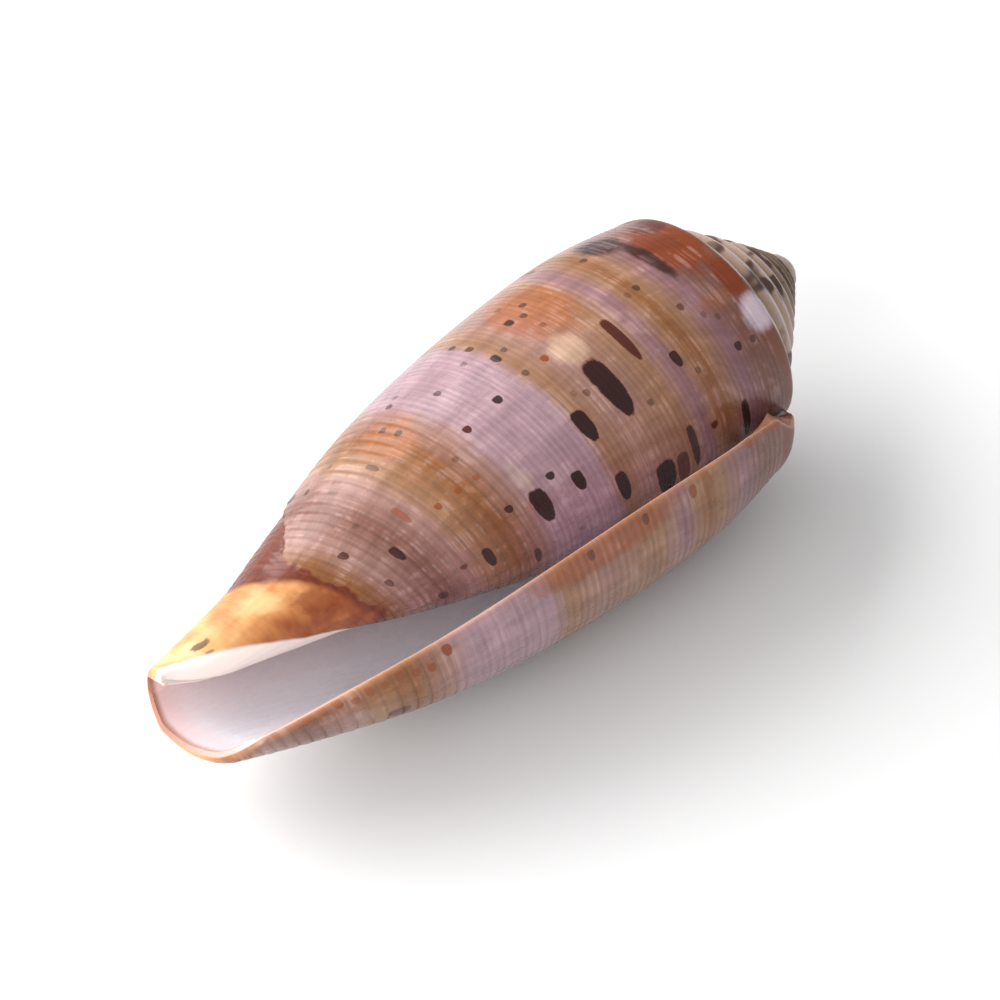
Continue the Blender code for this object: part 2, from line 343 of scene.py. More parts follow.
# The cords' ragged edge: how far it strays, and how many waves it has in a turn
EDGE_WAVES = ((0.00025, 9.0), (0.00012, 31.0))
GROOVE_SHARPNESS = 0.6
# Depth of the neck, the step down to it, its least width, the width of full depth with the least
# share of it, and how its floor rises
NECK_DEPTH = 0.00030
NECK_STEP = 0.00014
NECK_WIDTH = 0.0006
NECK_FULL_WIDTH = 0.006
NECK_LEAST = 0.15
NECK_RISE = 0.8
# Scales: slant for each degree, spacing, depth, the places where they fade in and out, the degrees
# that they count from, and how unevenly they stand
SCALE_SLANT = 0.000055
SCALE_SPACING = 0.00085
SCALE_DEPTH = 0.00003
SCALES_IN = (0.0, 0.0006)
SCALES_OUT = (0.070, 0.0745)
SCALE_ZERO = 300.0
SCALE_UNEVEN = 1.4
SCALE_BEAT = 2.1
# Growth rests: depth, degrees that the table covers, and its smoothing
REST_DEPTH = 0.00002
REST_DEGREES = 520
REST_WIDTH = 7
CALLUS_STARTS = -372.0
CALLUS_FULL = -398.0
chance = np.random.default_rng(29)
smoothing = np.hanning(REST_WIDTH) / 2.0
rest_table = np.convolve(chance.normal(0.0, 1.0, REST_DEGREES), smoothing, mode="same")


def smooth_step(value, start, end):
    share = share_between(value, (start, end))
    return share * share * (3.0 - 2.0 * share)


def cords_edge(stage):
    waves = sum(height * np.sin(np.radians(stage) * count) for height, count in EDGE_WAVES)
    return natural_spline(*zip(*CORDS_EDGE), stage) + waves


def fasciole_top(stage):
    return natural_spline(*zip(*FASCIOLE_TOP), stage)


def callus_line(stage):
    return natural_spline(*zip(*CALLUS_LINE), stage)


def scales(stage, drop):
    """Slanted scales of the fasciole and the neck, from 0 to 1."""
    across = (drop + SCALE_SLANT * (stage + SCALE_ZERO)) / SCALE_SPACING
    uneven = SCALE_UNEVEN * np.sin(across * SCALE_BEAT)
    return 0.5 + 0.5 * np.sin(2.0 * np.pi * across + uneven)


def relief(stage, drop):
    """How far the outer face lies inside the smooth wall of the solid."""
    edge = cords_edge(stage)
    top = np.maximum(fasciole_top(stage), edge + NECK_WIDTH)
    past_edge = (drop - edge) * lengthening(stage)
    has_cords = 1.0 - smooth_step(past_edge, 0.0, NECK_STEP)
    callus = smooth_step(stage, CALLUS_STARTS, CALLUS_FULL)
    groove = 1.0 - abs(np.sin(np.pi * cord_number(drop))) ** GROOVE_SHARPNESS
    depth = np.interp(drop, *zip(*CORD_DEPTH)) * groove * has_cords * (1.0 - callus)
    room = np.clip((top - edge) / NECK_FULL_WIDTH, NECK_LEAST, 1.0)
    neck_share = share_between(drop, (edge, top))
    depth += NECK_DEPTH * room * (1.0 - has_cords) * (1.0 - neck_share) ** NECK_RISE
    on_scales = smooth_step(past_edge, *SCALES_IN) * (1.0 - smooth_step(drop, *SCALES_OUT))
    depth += SCALE_DEPTH * scales(stage, drop) * on_scales
    rests = np.interp(stage, np.arange(1 - REST_DEGREES, 1), rest_table)
    depth += REST_DEPTH * np.clip(rests, -1.0, 1.0) * (1.0 - callus)
    return SKIN + depth


print("cords on the wall:", round(float(cord_number(CORDS_END) - cord_number(SUTURE_ROW))))

# %% [markdown]
# The lip is thin and the wall gets thicker inside. At both edges, lip and rim, the outer and the
# inner face bend toward each other and meet in a round edge. It could be a bevel, but a bevel of
# hundreds of tiny rows is fragile, and here the round edge follows from the distance to it.

# %% Thickness and round edges
# Thickness of the wall, against degrees behind the lip
THICKNESS = (
    (0.0, 0.00050), (40.0, 0.00175), (75.0, 0.0021), (110.0, 0.0020),
    (135.0, 0.0018), (200.0, 0.0009), (300.0, 0.0009),
)
# Radius from which on the wall has its full thickness; nearer the axis it is thinner
FULL_THICKNESS_RADIUS = 0.009
ROOF_THICKNESS = 0.0024
ROOF_EDGE = 0.0007
# Least thickness that counts for the round edge, the share of it that stays flat, and how near
# the edge the relief fades out
EDGE_WALL = 0.0004
EDGE_FLAT = 0.12
RELIEF_FADE = 0.0004
# Growth angle as far as which the lip is near, and the distance that stands for far
LIP_SIDE = -200.0
FAR = 1.0


def thickness(degrees, radius):
    wall = np.interp(-degrees, *zip(*THICKNESS))
    return wall * np.minimum(1.0, radius / FULL_THICKNESS_RADIUS)


def edge_round(distance, wall):
    """How far a face bends toward the middle of the wall near its edge."""
    half = wall / 2.0
    inside = np.clip(1.0 - distance / half, 0.0, 1.0)
    return half * (1.0 - EDGE_FLAT) * (1.0 - np.sqrt(1.0 - inside ** 2))


def lip_distance(degrees, radius):
    return np.where(degrees > LIP_SIDE, radius * np.radians(-degrees), FAR)


def wall_face(degrees, drop, end, inner=False):
    """Growth angle, real distance below the apex, radius and distance to the edge."""
    stage = growth_line(degrees, drop)
    real_drop = drop * lengthening(stage)
    radius = face_radius(stage, drop)
    wall = thickness(stage, radius)
    from_rim = (end - drop) * lengthening(stage)
    from_edge = np.minimum(lip_distance(degrees, radius), from_rim)
    bend = edge_round(from_edge, np.maximum(wall, EDGE_WALL))
    if inner:
        inset = SKIN + np.maximum(wall - bend, wall / 2.0)
    else:
        fade = smooth_step(from_edge, 0.0, RELIEF_FADE)
        inset = SKIN + (relief(stage, drop) - SKIN) * fade + bend
    return stage, real_drop, radius - inset, from_edge


print("wall at the lip and 90 degrees inside, in mm:",
      np.round(thickness(np.array([0.0, -90.0]), 0.013) / MM, 2))

# %% [markdown]
# Each part of the skin starts as a primitive grid: columns follow growth lines and rows follow
# the cords. Its corners are then carried to their grown places. A grid brings its faces and a UV
# map along, and the map is filled with growth angle and distance below the apex, so that the
# pattern can be painted on the shell as the animal did it. The three finishes, for the painted
# wall, the spire and the mouth, are named here and get their nodes later.

# %% A sheet from a grid
PAINT = 0
SPIRE = 1
MOUTH = 2
MAP_LENGTH = 0.080
# Kept at every corner: millimetres to the lip or rim, degrees of its growth line, number of the
# cord, and how far past each border of the pattern it lies
ZONES = ("from_edge", "grown_at", "cord", "past_cords", "past_fasciole", "past_callus")
OUTSIDE = -20.0
finishes = [bpy.data.materials.new(name) for name in ("painted_wall", "painted_spire", "mouth")]
sheets = {}


def make_sheet(name, points, turns, along, finish, zones):
    """A grid of columns by rows whose corners go to the given places."""
    columns, rows = points.shape[:2]
    bpy.ops.object.select_all(action="DESELECT")
    bpy.ops.mesh.primitive_grid_add(x_subdivisions=rows - 1, y_subdivisions=columns - 1, size=LENGTH)
    sheet = bpy.context.object
    sheet.name = name
    mesh = sheet.data
    mesh.vertices.foreach_set("co", points.reshape(-1).astype(np.float32))
    corner = np.zeros(len(mesh.loops), np.int32)
    mesh.loops.foreach_get("vertex_index", corner)
    growth_map = np.stack([turns, along], axis=-1).reshape(-1, 2)
    mesh.uv_layers[0].name = "growth_map"
    mesh.uv_layers[0].data.foreach_set("uv", growth_map[corner].reshape(-1).astype(np.float32))
    for zone in ZONES:
        values = np.broadcast_to(zones.get(zone, OUTSIDE), (columns, rows))
        attribute = mesh.attributes.new(zone, "FLOAT", "POINT")
        attribute.data.foreach_set("value", values.reshape(-1).astype(np.float32))
    for material in finishes:
        mesh.materials.append(material)
    mesh.polygons.foreach_set("material_index", np.full(len(mesh.polygons), finish, np.int32))
    sheets[name] = (sheet, columns, rows)
    return sheet


def wall_sheet(name, degrees, drop, end, finish, inner=False):
    stage, real_drop, radius, from_edge = wall_face(degrees, drop, end, inner)
    points = place(stage, real_drop, radius)
    zones = {
        "from_edge": from_edge / MM,
        "grown_at": degrees,
        "cord": cord_number(drop),
        "past_cords": (drop - cords_edge(stage)) / MM,
        "past_fasciole": (drop - fasciole_top(stage)) / MM,
        "past_callus": (drop - callus_line(stage)) / MM,
    }
    return make_sheet(name, points, stage / 360.0, drop / MAP_LENGTH, finish, zones)


# %% [markdown]
# First the outer wall of the last turn. A few columns stand close together at the lip, for its
# round edge, and every turn has the same columns, so that neighbouring whorls share their corners.

# %% Outer wall
STEPS_PER_TURN = 144
LIP_COLUMNS = (-1.2, -0.75, -0.4, -0.15, -0.03, 0.0)
turn_steps = np.arange(-STEPS_PER_TURN, 0) * (360.0 / STEPS_PER_TURN)
turn_columns = np.concatenate([turn_steps, LIP_COLUMNS])
outer_end = wall_end(turn_columns)[:, None]
outer_drop = wall_rows(outer_end[:, 0])
wall_sheet("outer_wall", turn_columns[:, None], outer_drop, outer_end, PAINT)
print("outer wall:", sheets["outer_wall"][1:], "columns and rows")

# %% [markdown]
# Above the wall, the ramp of each whorl climbs from its shoulder to the suture, where it meets
# the whorl before. A smooth curve through suture, knee and shoulder rounds the step.

# %% Ramps of the spire
SPIRE_TURNS = 10
# The knee's shares of the way out and down from suture to shoulder, and of the wall's thickness;
# then the share of the inset that the shoulder takes
KNEE_OUT = 0.86
KNEE_DOWN = 0.78
KNEE_INSET = 0.6
SHOULDER_SHARE = 0.7
# Places of suture, knee, shoulder and the first wall rows along the ramp outline
RAMP_KNOTS = (0.0, 0.00357, 0.00428, 0.00567, 0.0090)
INNER_KNOTS = (0.0, 0.0034, 0.0043, 0.0066)
RAMP_ROWS = (0.0, 0.0008, 0.0018, 0.0028, 0.0034, 0.0038, 0.0042, 0.0046, 0.0051, 0.00567)
INNER_SHOULDER = SHOULDER[0] + ROOF_THICKNESS
# On the growth map the suture has this place, so that the ramp's pattern runs on into the wall's
RAMP_MAP_START = 0.0077
# Wall rows whose growth lines the knots follow, after the suture
RAMP_FOLLOWS = (SHOULDER[0], SHOULDER[0], SUTURE_ROW, ROOF_ROW)
INNER_FOLLOWS = (INNER_SHOULDER, INNER_SHOULDER, ROOF_ROW)


def ramp_outline(degrees, inner=False):
    """Knots of the ramp on growth lines: distance below the apex and radius, and lip distance."""
    second = wall_face(degrees, ROOF_ROW, FAR, inner)
    # Knee and shoulder lag behind the suture, so the suture is wanted where they are
    stage = growth_line(degrees, INNER_SHOULDER if inner else SHOULDER[0])
    end_drop = SHOULDER[0] * lengthening(stage)
    end_radius = face_radius(stage, SHOULDER[0])
    suture_drop = SUTURE_ROW * lengthening(stage - 360.0)
    suture_radius = face_radius(stage - 360.0, SUTURE_ROW) - SKIN
    knee_drop = suture_drop + (end_drop - suture_drop) * KNEE_DOWN
    knee_radius = suture_radius + (end_radius - suture_radius) * KNEE_OUT
    from_lip = lip_distance(degrees, knee_radius)
    roof = ROOF_THICKNESS * widening(degrees)
    bend = edge_round(from_lip, ROOF_EDGE)
    wall = thickness(stage, end_radius)
    if inner:
        start = wall_face(degrees - 360.0, ROOF_ROW, FAR)
        knee = (0.0, knee_drop + roof - bend, knee_radius - KNEE_INSET * wall)
        shoulder_radius = end_radius - np.maximum(wall - bend, wall / 2.0)
        shoulder = (0.0, end_drop + roof - bend, shoulder_radius)
        knots = (start, knee, shoulder, second)
    else:
        start = wall_face(degrees - 360.0, SUTURE_ROW, FAR)
        first = wall_face(degrees, SUTURE_ROW, FAR)
        knee = (0.0, knee_drop + SKIN + bend, knee_radius)
        shoulder_inset = SHOULDER_SHARE * (SKIN + bend)
        shoulder = (0.0, end_drop + shoulder_inset, end_radius - shoulder_inset)
        knots = (start, knee, shoulder, first, second)
    drops = np.stack([knot[1] for knot in knots])
    radii = np.stack([knot[2] for knot in knots])
    return drops, radii, from_lip


def ramp_sheet(name, degrees, along, finish, inner=False):
    """Ramp over growth lines, with rows at places along its outline."""
    drops, radii, from_lip = ramp_outline(degrees, inner)
    knots = INNER_KNOTS if inner else RAMP_KNOTS
    drop = natural_spline(knots, drops, along).T
    radius = natural_spline(knots, radii, along).T
    start_row = ROOF_ROW if inner else SUTURE_ROW
    stages = [growth_line(degrees - 360.0, start_row) + 360.0]
    stages += [growth_line(degrees, row) for row in (INNER_FOLLOWS if inner else RAMP_FOLLOWS)]
    stage = natural_spline(knots, np.stack(stages), along).T
    points = place(stage, drop, radius)
    down = RAMP_MAP_START + (SUTURE_ROW - RAMP_MAP_START) * np.asarray(along) / RAMP_KNOTS[3]
    map_rows = np.repeat((down / MAP_LENGTH)[None], len(degrees), axis=0)
    zones = {"from_edge": from_lip[:, None] / MM, "grown_at": np.asarray(degrees)[:, None]}
    return make_sheet(name, points, stage / 360.0, map_rows, finish, zones)


for turn in range(SPIRE_TURNS):
    ramp_sheet(f"ramp_{turn}", turn_columns - 360.0 * turn, RAMP_ROWS, SPIRE)
print("ramps:", SPIRE_TURNS)

# %% [markdown]
# Inside the mouth, the hollow runs back between the inner face of the wall and the pillar, which
# is the outer wall of the turn before. The photo shows the first part of the pillar with its
# pattern, so that part keeps the fine rows, and what lies deeper has few.

# %% Mouth and pillar
# Depth of the hollow at the top and at the canal, and the shares of the way down between which it
# gets less
HOLLOW_TOP_DEGREES = 300.0
HOLLOW_CANAL_DEGREES = 170.0
HOLLOW_CLOSES = (0.45, 0.85)
# Columns of the hollow: shares of its depth next to the lip, the number from there to the fine
# depth, that depth, and the numbers of fine columns on the pillar and of deep ones
LIP_DEPTHS = (0.0, 0.0001, 0.0005, 0.00133, 0.0025, 0.004, 0.008, 0.016)
MIDDLE_COLUMNS = 14
FINE_DEPTH = 0.22
FINE_COLUMNS = 30
DEEP_COLUMNS = 26
COARSE_ROWS = 90
ROOF_STARTS = 0.00015
INNER_ROOF_ROWS = 9
inner_depths = np.concatenate([
    LIP_DEPTHS,
    np.linspace(LIP_DEPTHS[-1], FINE_DEPTH, MIDDLE_COLUMNS)[1:],
    np.linspace(FINE_DEPTH, 1.0, DEEP_COLUMNS)[1:],
])
first_deep = len(LIP_DEPTHS) + MIDDLE_COLUMNS - 1
fine_shares = (outer_drop[0, roof_index:] - ROOF_ROW) / (outer_end[0] - ROOF_ROW)
coarse_shares = np.interp(
    np.linspace(0.0, 1.0, COARSE_ROWS), np.linspace(0.0, 1.0, len(fine_shares)), fine_shares
)


def hollow_columns(depths, shares, turns_back):
    """Growth line and distance below the apex for each depth and row of the hollow."""
    reach = np.interp(shares, HOLLOW_CLOSES, (HOLLOW_TOP_DEGREES, HOLLOW_CANAL_DEGREES))
    degrees = -360.0 * turns_back - depths[:, None] * reach[None]
    end = wall_end(degrees)
    return degrees, ROOF_ROW + (end - ROOF_ROW) * shares[None], end


inner = hollow_columns(inner_depths, coarse_shares, 0)
wall_sheet("inner_wall", *inner, MOUTH, inner=True)
roof_along = np.linspace(ROOF_STARTS, INNER_KNOTS[-1], INNER_ROOF_ROWS)
ramp_sheet("roof", -HOLLOW_TOP_DEGREES * inner_depths, roof_along, MOUTH, inner=True)
fine = hollow_columns(np.linspace(0.0, FINE_DEPTH, FINE_COLUMNS), fine_shares, 1)
wall_sheet("pillar_front", *fine, PAINT)
deep = hollow_columns(inner_depths[first_deep:], coarse_shares, 1)
wall_sheet("pillar_deep", *deep, PAINT)
print("deepest point of the hollow:", -HOLLOW_TOP_DEGREES, "degrees")

# %% [markdown]
# The sheets become one mesh. Joining them one at a time keeps their corners in a known order, so
# each border can be named by its columns and rows.

# %% Join the sheets
order = ["outer_wall", *[f"ramp_{turn}" for turn in range(SPIRE_TURNS)]]
order += ["roof", "inner_wall", "pillar_front", "pillar_deep"]
corners = {}
total = 0
shell = sheets[order[0]][0]
for name in order:
    sheet, columns, rows = sheets[name]
    corners[name] = total + np.arange(columns * rows).reshape(columns, rows)
    total += columns * rows
    if sheet is not shell:
        bpy.ops.object.select_all(action="DESELECT")
        sheet.select_set(True)
        shell.select_set(True)
        bpy.context.view_layer.objects.active = shell
        bpy.ops.object.join()
shell.name = "cone_shell"
shell.data.name = "cone_shell"
print("corners after joining:", len(shell.data.vertices), "expected:", total)

# %% [markdown]
# Borders that match are merged. Where a fine grid meets a coarse one, the seam is sewn like a zip
# whose two sides have unlike teeth. It walks along both at once, and each triangle takes the next
# corner of the side that has got less far, so both sides reach their ends together.

# %% Sew the seams
SAME_PLACE = 1e-9
MERGE_DISTANCE = 1e-7
mesh = bmesh.new()
mesh.from_mesh(shell.data)
mesh.verts.ensure_lookup_table()
growth_map = mesh.loops.layers.uv["growth_map"]
corner_map = {corner: corner.link_loops[0][growth_map].uv.copy() for corner in mesh.verts}


def chain(*parts):
    """Corners of several borders in one line, without repeats."""
    line = []
    for part in parts:
        for index in part:
            corner = mesh.verts[int(index)]
            if not line or (corner.co - line[-1].co).length > SAME_PLACE:
                line.append(corner)
    return line


def shares_of(line):
    """Share of the way along a line at each of its corners."""
    steps = [(b.co - a.co).length for a, b in zip(line, line[1:])]
    reached = np.concatenate([[0.0], np.cumsum(steps)])
    return reached / reached[-1]


def zip_lines(left, right, finish):
    """Triangles between two lines of corners that run side by side."""
    left_share = shares_of(left)
    right_share = shares_of(right)
    i = 0
    k = 0
    while i < len(left) - 1 or k < len(right) - 1:
        can_left = i < len(left) - 1
        ahead = k == len(right) - 1 or (can_left and left_share[i + 1] <= right_share[k + 1])
        third = left[i + 1] if can_left and ahead else right[k + 1]
        triangle = (left[i], right[k], third)
        if can_left and ahead:
            i += 1
        else:
            k += 1
        if len({tuple(corner.co) for corner in triangle}) == 3:
            face = mesh.faces.new(triangle)
            face.material_index = finish
            for loop in face.loops:
                loop[growth_map].uv = corner_map[loop.vert]


outer = corners["outer_wall"]
inner = corners["inner_wall"]
roof = corners["roof"]
ramp = corners["ramp_0"]
front = corners["pillar_front"]
deep = corners["pillar_deep"]
# Lip: its corner at the suture, the roof, and the long edge
suture_side = chain(outer[0, :roof_index + 1])
roof_side = chain(roof[0])
ramp_side = chain(ramp[-1], outer[-1, :roof_index + 1])
gaps = [(corner.co - roof_side[0].co).length for corner in ramp_side]
opposite = int(np.argmin(gaps))
zip_lines(ramp_side[:opposite + 1], suture_side + roof_side[:1], MOUTH)
zip_lines(ramp_side[opposite:], roof_side, MOUTH)
zip_lines(chain(outer[-1, roof_index:]), chain(inner[0]), PAINT)
# Anterior rim, as far as the hollow reaches there
rim_columns = int(np.argmin(abs(turn_columns + HOLLOW_CANAL_DEGREES)))
zip_lines(chain(outer[rim_columns:, -1][::-1]), chain(inner[:, -1]), PAINT)
# Roof to pillar, fine pillar to coarse pillar, and the wall that ends the hollow
zip_lines(chain(roof[:, 0]), chain(front[:, 0], deep[:, 0]), MOUTH)
zip_lines(chain(front[-1]), chain(deep[0]), PAINT)
zip_lines(chain(roof[-1], inner[-1]), chain(deep[-1]), MOUTH)
bmesh.ops.remove_doubles(mesh, verts=mesh.verts, dist=MERGE_DISTANCE)
print("open edges left:", sum(edge.is_boundary for edge in mesh.edges))
mesh.to_mesh(shell.data)
mesh.free()

# %% [markdown]
# Two openings are left: the twisted end of the pillar and the tip of the spire. The pillar end
# gets one face. The oldest whorls are worn to a blunt tip, so they are cut off flat, and a small
# dome is drawn out of the cut in three steps.

# %% Close the ends
TIP_BASE = 0.0014
CUT_SNAP = 1e-6
# Rings of the worn tip: share of the radius and of the height above the cut
TIP_RINGS = ((0.86, 0.34), (0.58, 0.70), (0.28, 0.93))
SMOOTH_ANGLE = 50.0
axis = TURN @ np.array([1.0, 0.0, 0.0])
cut_place = place(np.float64(0.0), np.float64(TIP_BASE), np.float64(0.0))
bpy.ops.object.mode_set(mode="EDIT")
bpy.ops.mesh.select_mode(type="EDGE")
bpy.ops.mesh.select_all(action="SELECT")
bpy.ops.mesh.bisect(plane_co=cut_place, plane_no=axis, clear_outer=True, threshold=CUT_SNAP)
tip_height = TIP_BASE - TIP_WEAR - SKIN
reached = 0.0
width = 1.0
for radius_share, height_share in TIP_RINGS:
    move = axis * tip_height * (height_share - reached)
    bpy.ops.mesh.extrude_edges_move(TRANSFORM_OT_translate={"value": tuple(move)})
    size = radius_share / width
    centre = cut_place + axis * tip_height * height_share
    bpy.ops.transform.resize(value=(size, size, size), center_override=tuple(centre))
    reached = height_share
    width = radius_share
bpy.ops.mesh.extrude_edges_move(
    TRANSFORM_OT_translate={"value": tuple(axis * tip_height * (1.0 - reached))}
)
bpy.ops.mesh.merge(type="CENTER")
bpy.ops.mesh.select_all(action="DESELECT")
bpy.ops.mesh.select_non_manifold()
bpy.ops.mesh.edge_face_add()
bpy.ops.mesh.select_all(action="SELECT")
bpy.ops.mesh.normals_make_consistent(inside=False)
bpy.ops.mesh.select_all(action="DESELECT")
bpy.ops.object.mode_set(mode="OBJECT")
bpy.ops.object.shade_smooth_by_angle(angle=math.radians(SMOOTH_ANGLE))
print("corners:", len(shell.data.vertices), "triangles:",
      sum(len(face.vertices) - 2 for face in shell.data.polygons))

# %% [markdown]
# The animal lays its colours down at the lip with the edge of its mantle. Dashes and dots come out
# where a spot of the mantle gives dark pigment for a while, so each runs along a spiral, starts
# thin and ends blunt. They could be drawn on an unwrapped picture, but here each is one row: place
# on the growth map, half its length and half its height, kind and strength. The marks on the side
# that no one sees from the front follow the same spirals, with their places left to chance.

# %% Places of the painted marks
BROWN, RED, OLIVE, TAN = 0.0, 0.3, 0.6, 0.9
# Growth angle in degrees, millimetres below the apex, half length, half height, kind, strength
MARKS = [
    (-377.0, 19.0, 12.5, 0.52, BROWN, 1.0), (-328.5, 23.5, 3.8, 0.48, BROWN, 0.95),
    (-370.0, 26.1, 13.0, 0.48, BROWN, 0.9), (-308.5, 26.4, 11.8, 0.52, RED, 0.95),
    (-378.0, 30.1, 11.6, 1.15, BROWN, 1.0), (-379.0, 27.9, 11.0, 0.75, RED, 0.85),
    (-322.2, 30.7, 15.0, 1.12, BROWN, 1.0), (-366.5, 35.05, 9.2, 0.68, BROWN, 1.0),
    (-329.5, 35.2, 8.2, 0.78, BROWN, 1.0), (-349.7, 38.95, 5.5, 0.62, BROWN, 1.0),
    (-351.0, 43.35, 10.2, 0.88, BROWN, 1.0), (-381.5, 46.05, 6.6, 0.38, BROWN, 0.75),
    (-365.0, 50.5, 8.2, 0.52, BROWN, 0.95), (-276.7, 50.9, 4.0, 0.30, OLIVE, 0.8),
    (-310.2, 53.6, 6.8, 0.35, TAN, 0.6), (-384.5, 56.3, 5.2, 0.50, BROWN, 0.7),
    (-329.0, 56.7, 6.4, 0.42, BROWN, 0.9), (-346.0, 59.4, 4.2, 0.32, RED, 0.75),
    (-305.5, 59.6, 3.8, 0.36, RED, 0.9), (-340.3, 16.9, 2.2, 0.42, BROWN, 0.9),
    (-342.0, 14.95, 1.8, 0.34, BROWN, 0.7), (-324.0, 16.95, 1.6, 0.30, BROWN, 0.4),
    (-320.0, 18.1, 1.6, 0.30, BROWN, 0.4), (-311.7, 19.5, 1.7, 0.34, OLIVE, 0.8),
    (-293.8, 21.2, 1.7, 0.34, BROWN, 0.7), (-264.5, 21.2, 1.8, 0.34, BROWN, 0.7),
    (-338.0, 22.25, 1.6, 0.30, BROWN, 0.5), (-294.5, 22.45, 1.6, 0.30, RED, 0.4),
    (-365.7, 23.2, 2.0, 0.42, RED, 0.95), (-337.5, 28.4, 1.6, 0.32, BROWN, 0.5),
    (-265.0, 28.9, 1.7, 0.34, BROWN, 0.7), (-270.8, 30.1, 1.7, 0.34, BROWN, 0.7),
    (-281.5, 30.1, 1.5, 0.30, BROWN, 0.4), (-256.0, 30.1, 1.5, 0.30, BROWN, 0.4),
    (-268.7, 31.45, 2.2, 0.42, BROWN, 0.9), (-318.0, 32.9, 1.7, 0.34, OLIVE, 0.7),
    (-315.0, 33.9, 1.5, 0.30, OLIVE, 0.4), (-295.0, 33.1, 1.8, 0.36, TAN, 0.9),
    (-279.0, 34.5, 1.4, 0.28, BROWN, 0.6), (-280.0, 35.7, 2.5, 0.38, BROWN, 0.9),
    (-294.8, 35.45, 1.7, 0.34, BROWN, 0.6), (-265.2, 35.75, 2.0, 0.36, OLIVE, 0.9),
    (-255.5, 35.95, 1.8, 0.34, BROWN, 0.7), (-270.2, 37.6, 1.5, 0.30, BROWN, 0.45),
    (-296.5, 39.3, 2.1, 0.44, BROWN, 0.95), (-339.5, 41.1, 2.0, 0.42, BROWN, 0.95),
    (-377.5, 40.75, 1.7, 0.32, BROWN, 0.4), (-273.0, 41.6, 1.7, 0.34, BROWN, 0.7),
    (-298.2, 43.45, 2.0, 0.38, RED, 0.95), (-253.0, 42.9, 1.5, 0.30, BROWN, 0.4),
    (-255.0, 44.1, 1.7, 0.34, BROWN, 0.7), (-342.6, 46.3, 2.2, 0.42, BROWN, 0.9),
    (-319.3, 46.5, 1.6, 0.32, TAN, 0.5), (-305.7, 46.45, 1.6, 0.32, BROWN, 0.4),
    (-273.6, 46.8, 1.8, 0.36, BROWN, 0.8), (-264.3, 46.95, 1.8, 0.36, BROWN, 0.7),
    (-319.3, 48.6, 1.7, 0.32, TAN, 0.7), (-319.6, 50.9, 2.0, 0.32, TAN, 0.8),
    (-248.5, 51.2, 1.6, 0.30, BROWN, 0.4), (-362.9, 53.1, 2.0, 0.40, RED, 0.7),
    (-244.3, 53.9, 1.8, 0.34, BROWN, 0.7), (-295.7, 56.6, 1.6, 0.30, OLIVE, 0.5),
    (-6.0, 13.0, 2.6, 0.36, TAN, 0.9), (-5.0, 16.9, 2.4, 0.34, TAN, 0.9),
    (-6.0, 23.0, 2.6, 0.34, TAN, 0.8), (-4.0, 27.4, 2.2, 0.30, RED, 0.6),
    (-4.0, 32.4, 2.2, 0.30, RED, 0.6), (-8.0, 45.0, 3.0, 0.36, TAN, 0.9),
    (-39.0, 49.6, 5.5, 0.85, RED, 0.9),
]
print("marks on the side that is seen:", len(MARKS))

# %% [markdown]
# Where do chance marks go? Along the spirals that the seen marks keep to, one after another round
# the back and the underside, with gaps between them. Toward the anterior end a row of small
# tan ticks follows the lip.

# %% Marks left to chance
MARK_SPIRALS = (19.0, 23.5, 26.2, 30.8, 35.1, 39.0, 43.4, 46.3, 50.7, 53.6, 56.6, 59.5)
HIDDEN_SIDE = (-238.0, -62.0)
FIRST_GAP = (0.0, 30.0)
GAPS = (12.0, 38.0)
DASH_SHARE = 0.4
# Half length and half height of a dash and of a dot
DASH = ((4.0, 9.0), (0.4, 0.8))
DOT = ((1.5, 2.3), (0.3, 0.42))
STRENGTHS = (0.6, 1.0)
# Ticks: from, to and step below the apex, then place, half length, half height and strength
TICK_ROWS = (46.5, 61.0, 1.15)
TICK_STAGE = -9.0
TICK_SHIFT = (0.0, 5.0)
TICK_LENGTH = (2.0, 3.6)
TICK_HEIGHT = 0.32
TICK_STRENGTH = (0.5, 0.9)
for spiral in MARK_SPIRALS:
    stage = HIDDEN_SIDE[0] + chance.uniform(*FIRST_GAP)
    while stage < HIDDEN_SIDE[1]:
        lengths, heights = DASH if chance.random() < DASH_SHARE else DOT
        half_length = chance.uniform(*lengths)
        half_height = chance.uniform(*heights)
        kind = chance.choice((BROWN, BROWN, RED, OLIVE))
        MARKS.append((stage, spiral, half_length, half_height, kind, chance.uniform(*STRENGTHS)))
        stage += 2.0 * half_length + chance.uniform(*GAPS)
for drop in np.arange(*TICK_ROWS):
    stage = TICK_STAGE - chance.uniform(*TICK_SHIFT)
    half_length = chance.uniform(*TICK_LENGTH)
    MARKS.append((stage, drop, half_length, TICK_HEIGHT, TAN, chance.uniform(*TICK_STRENGTH)))
print("marks in all:", len(MARKS))

# %% [markdown]
# A face near a mark gets a second UV map in which that mark fills the square from -1 to 1, and a
# third that holds its kind and strength. So one shader group draws all the marks, however many
# there are. A face belongs to the mark that is nearest by the mark's own size.

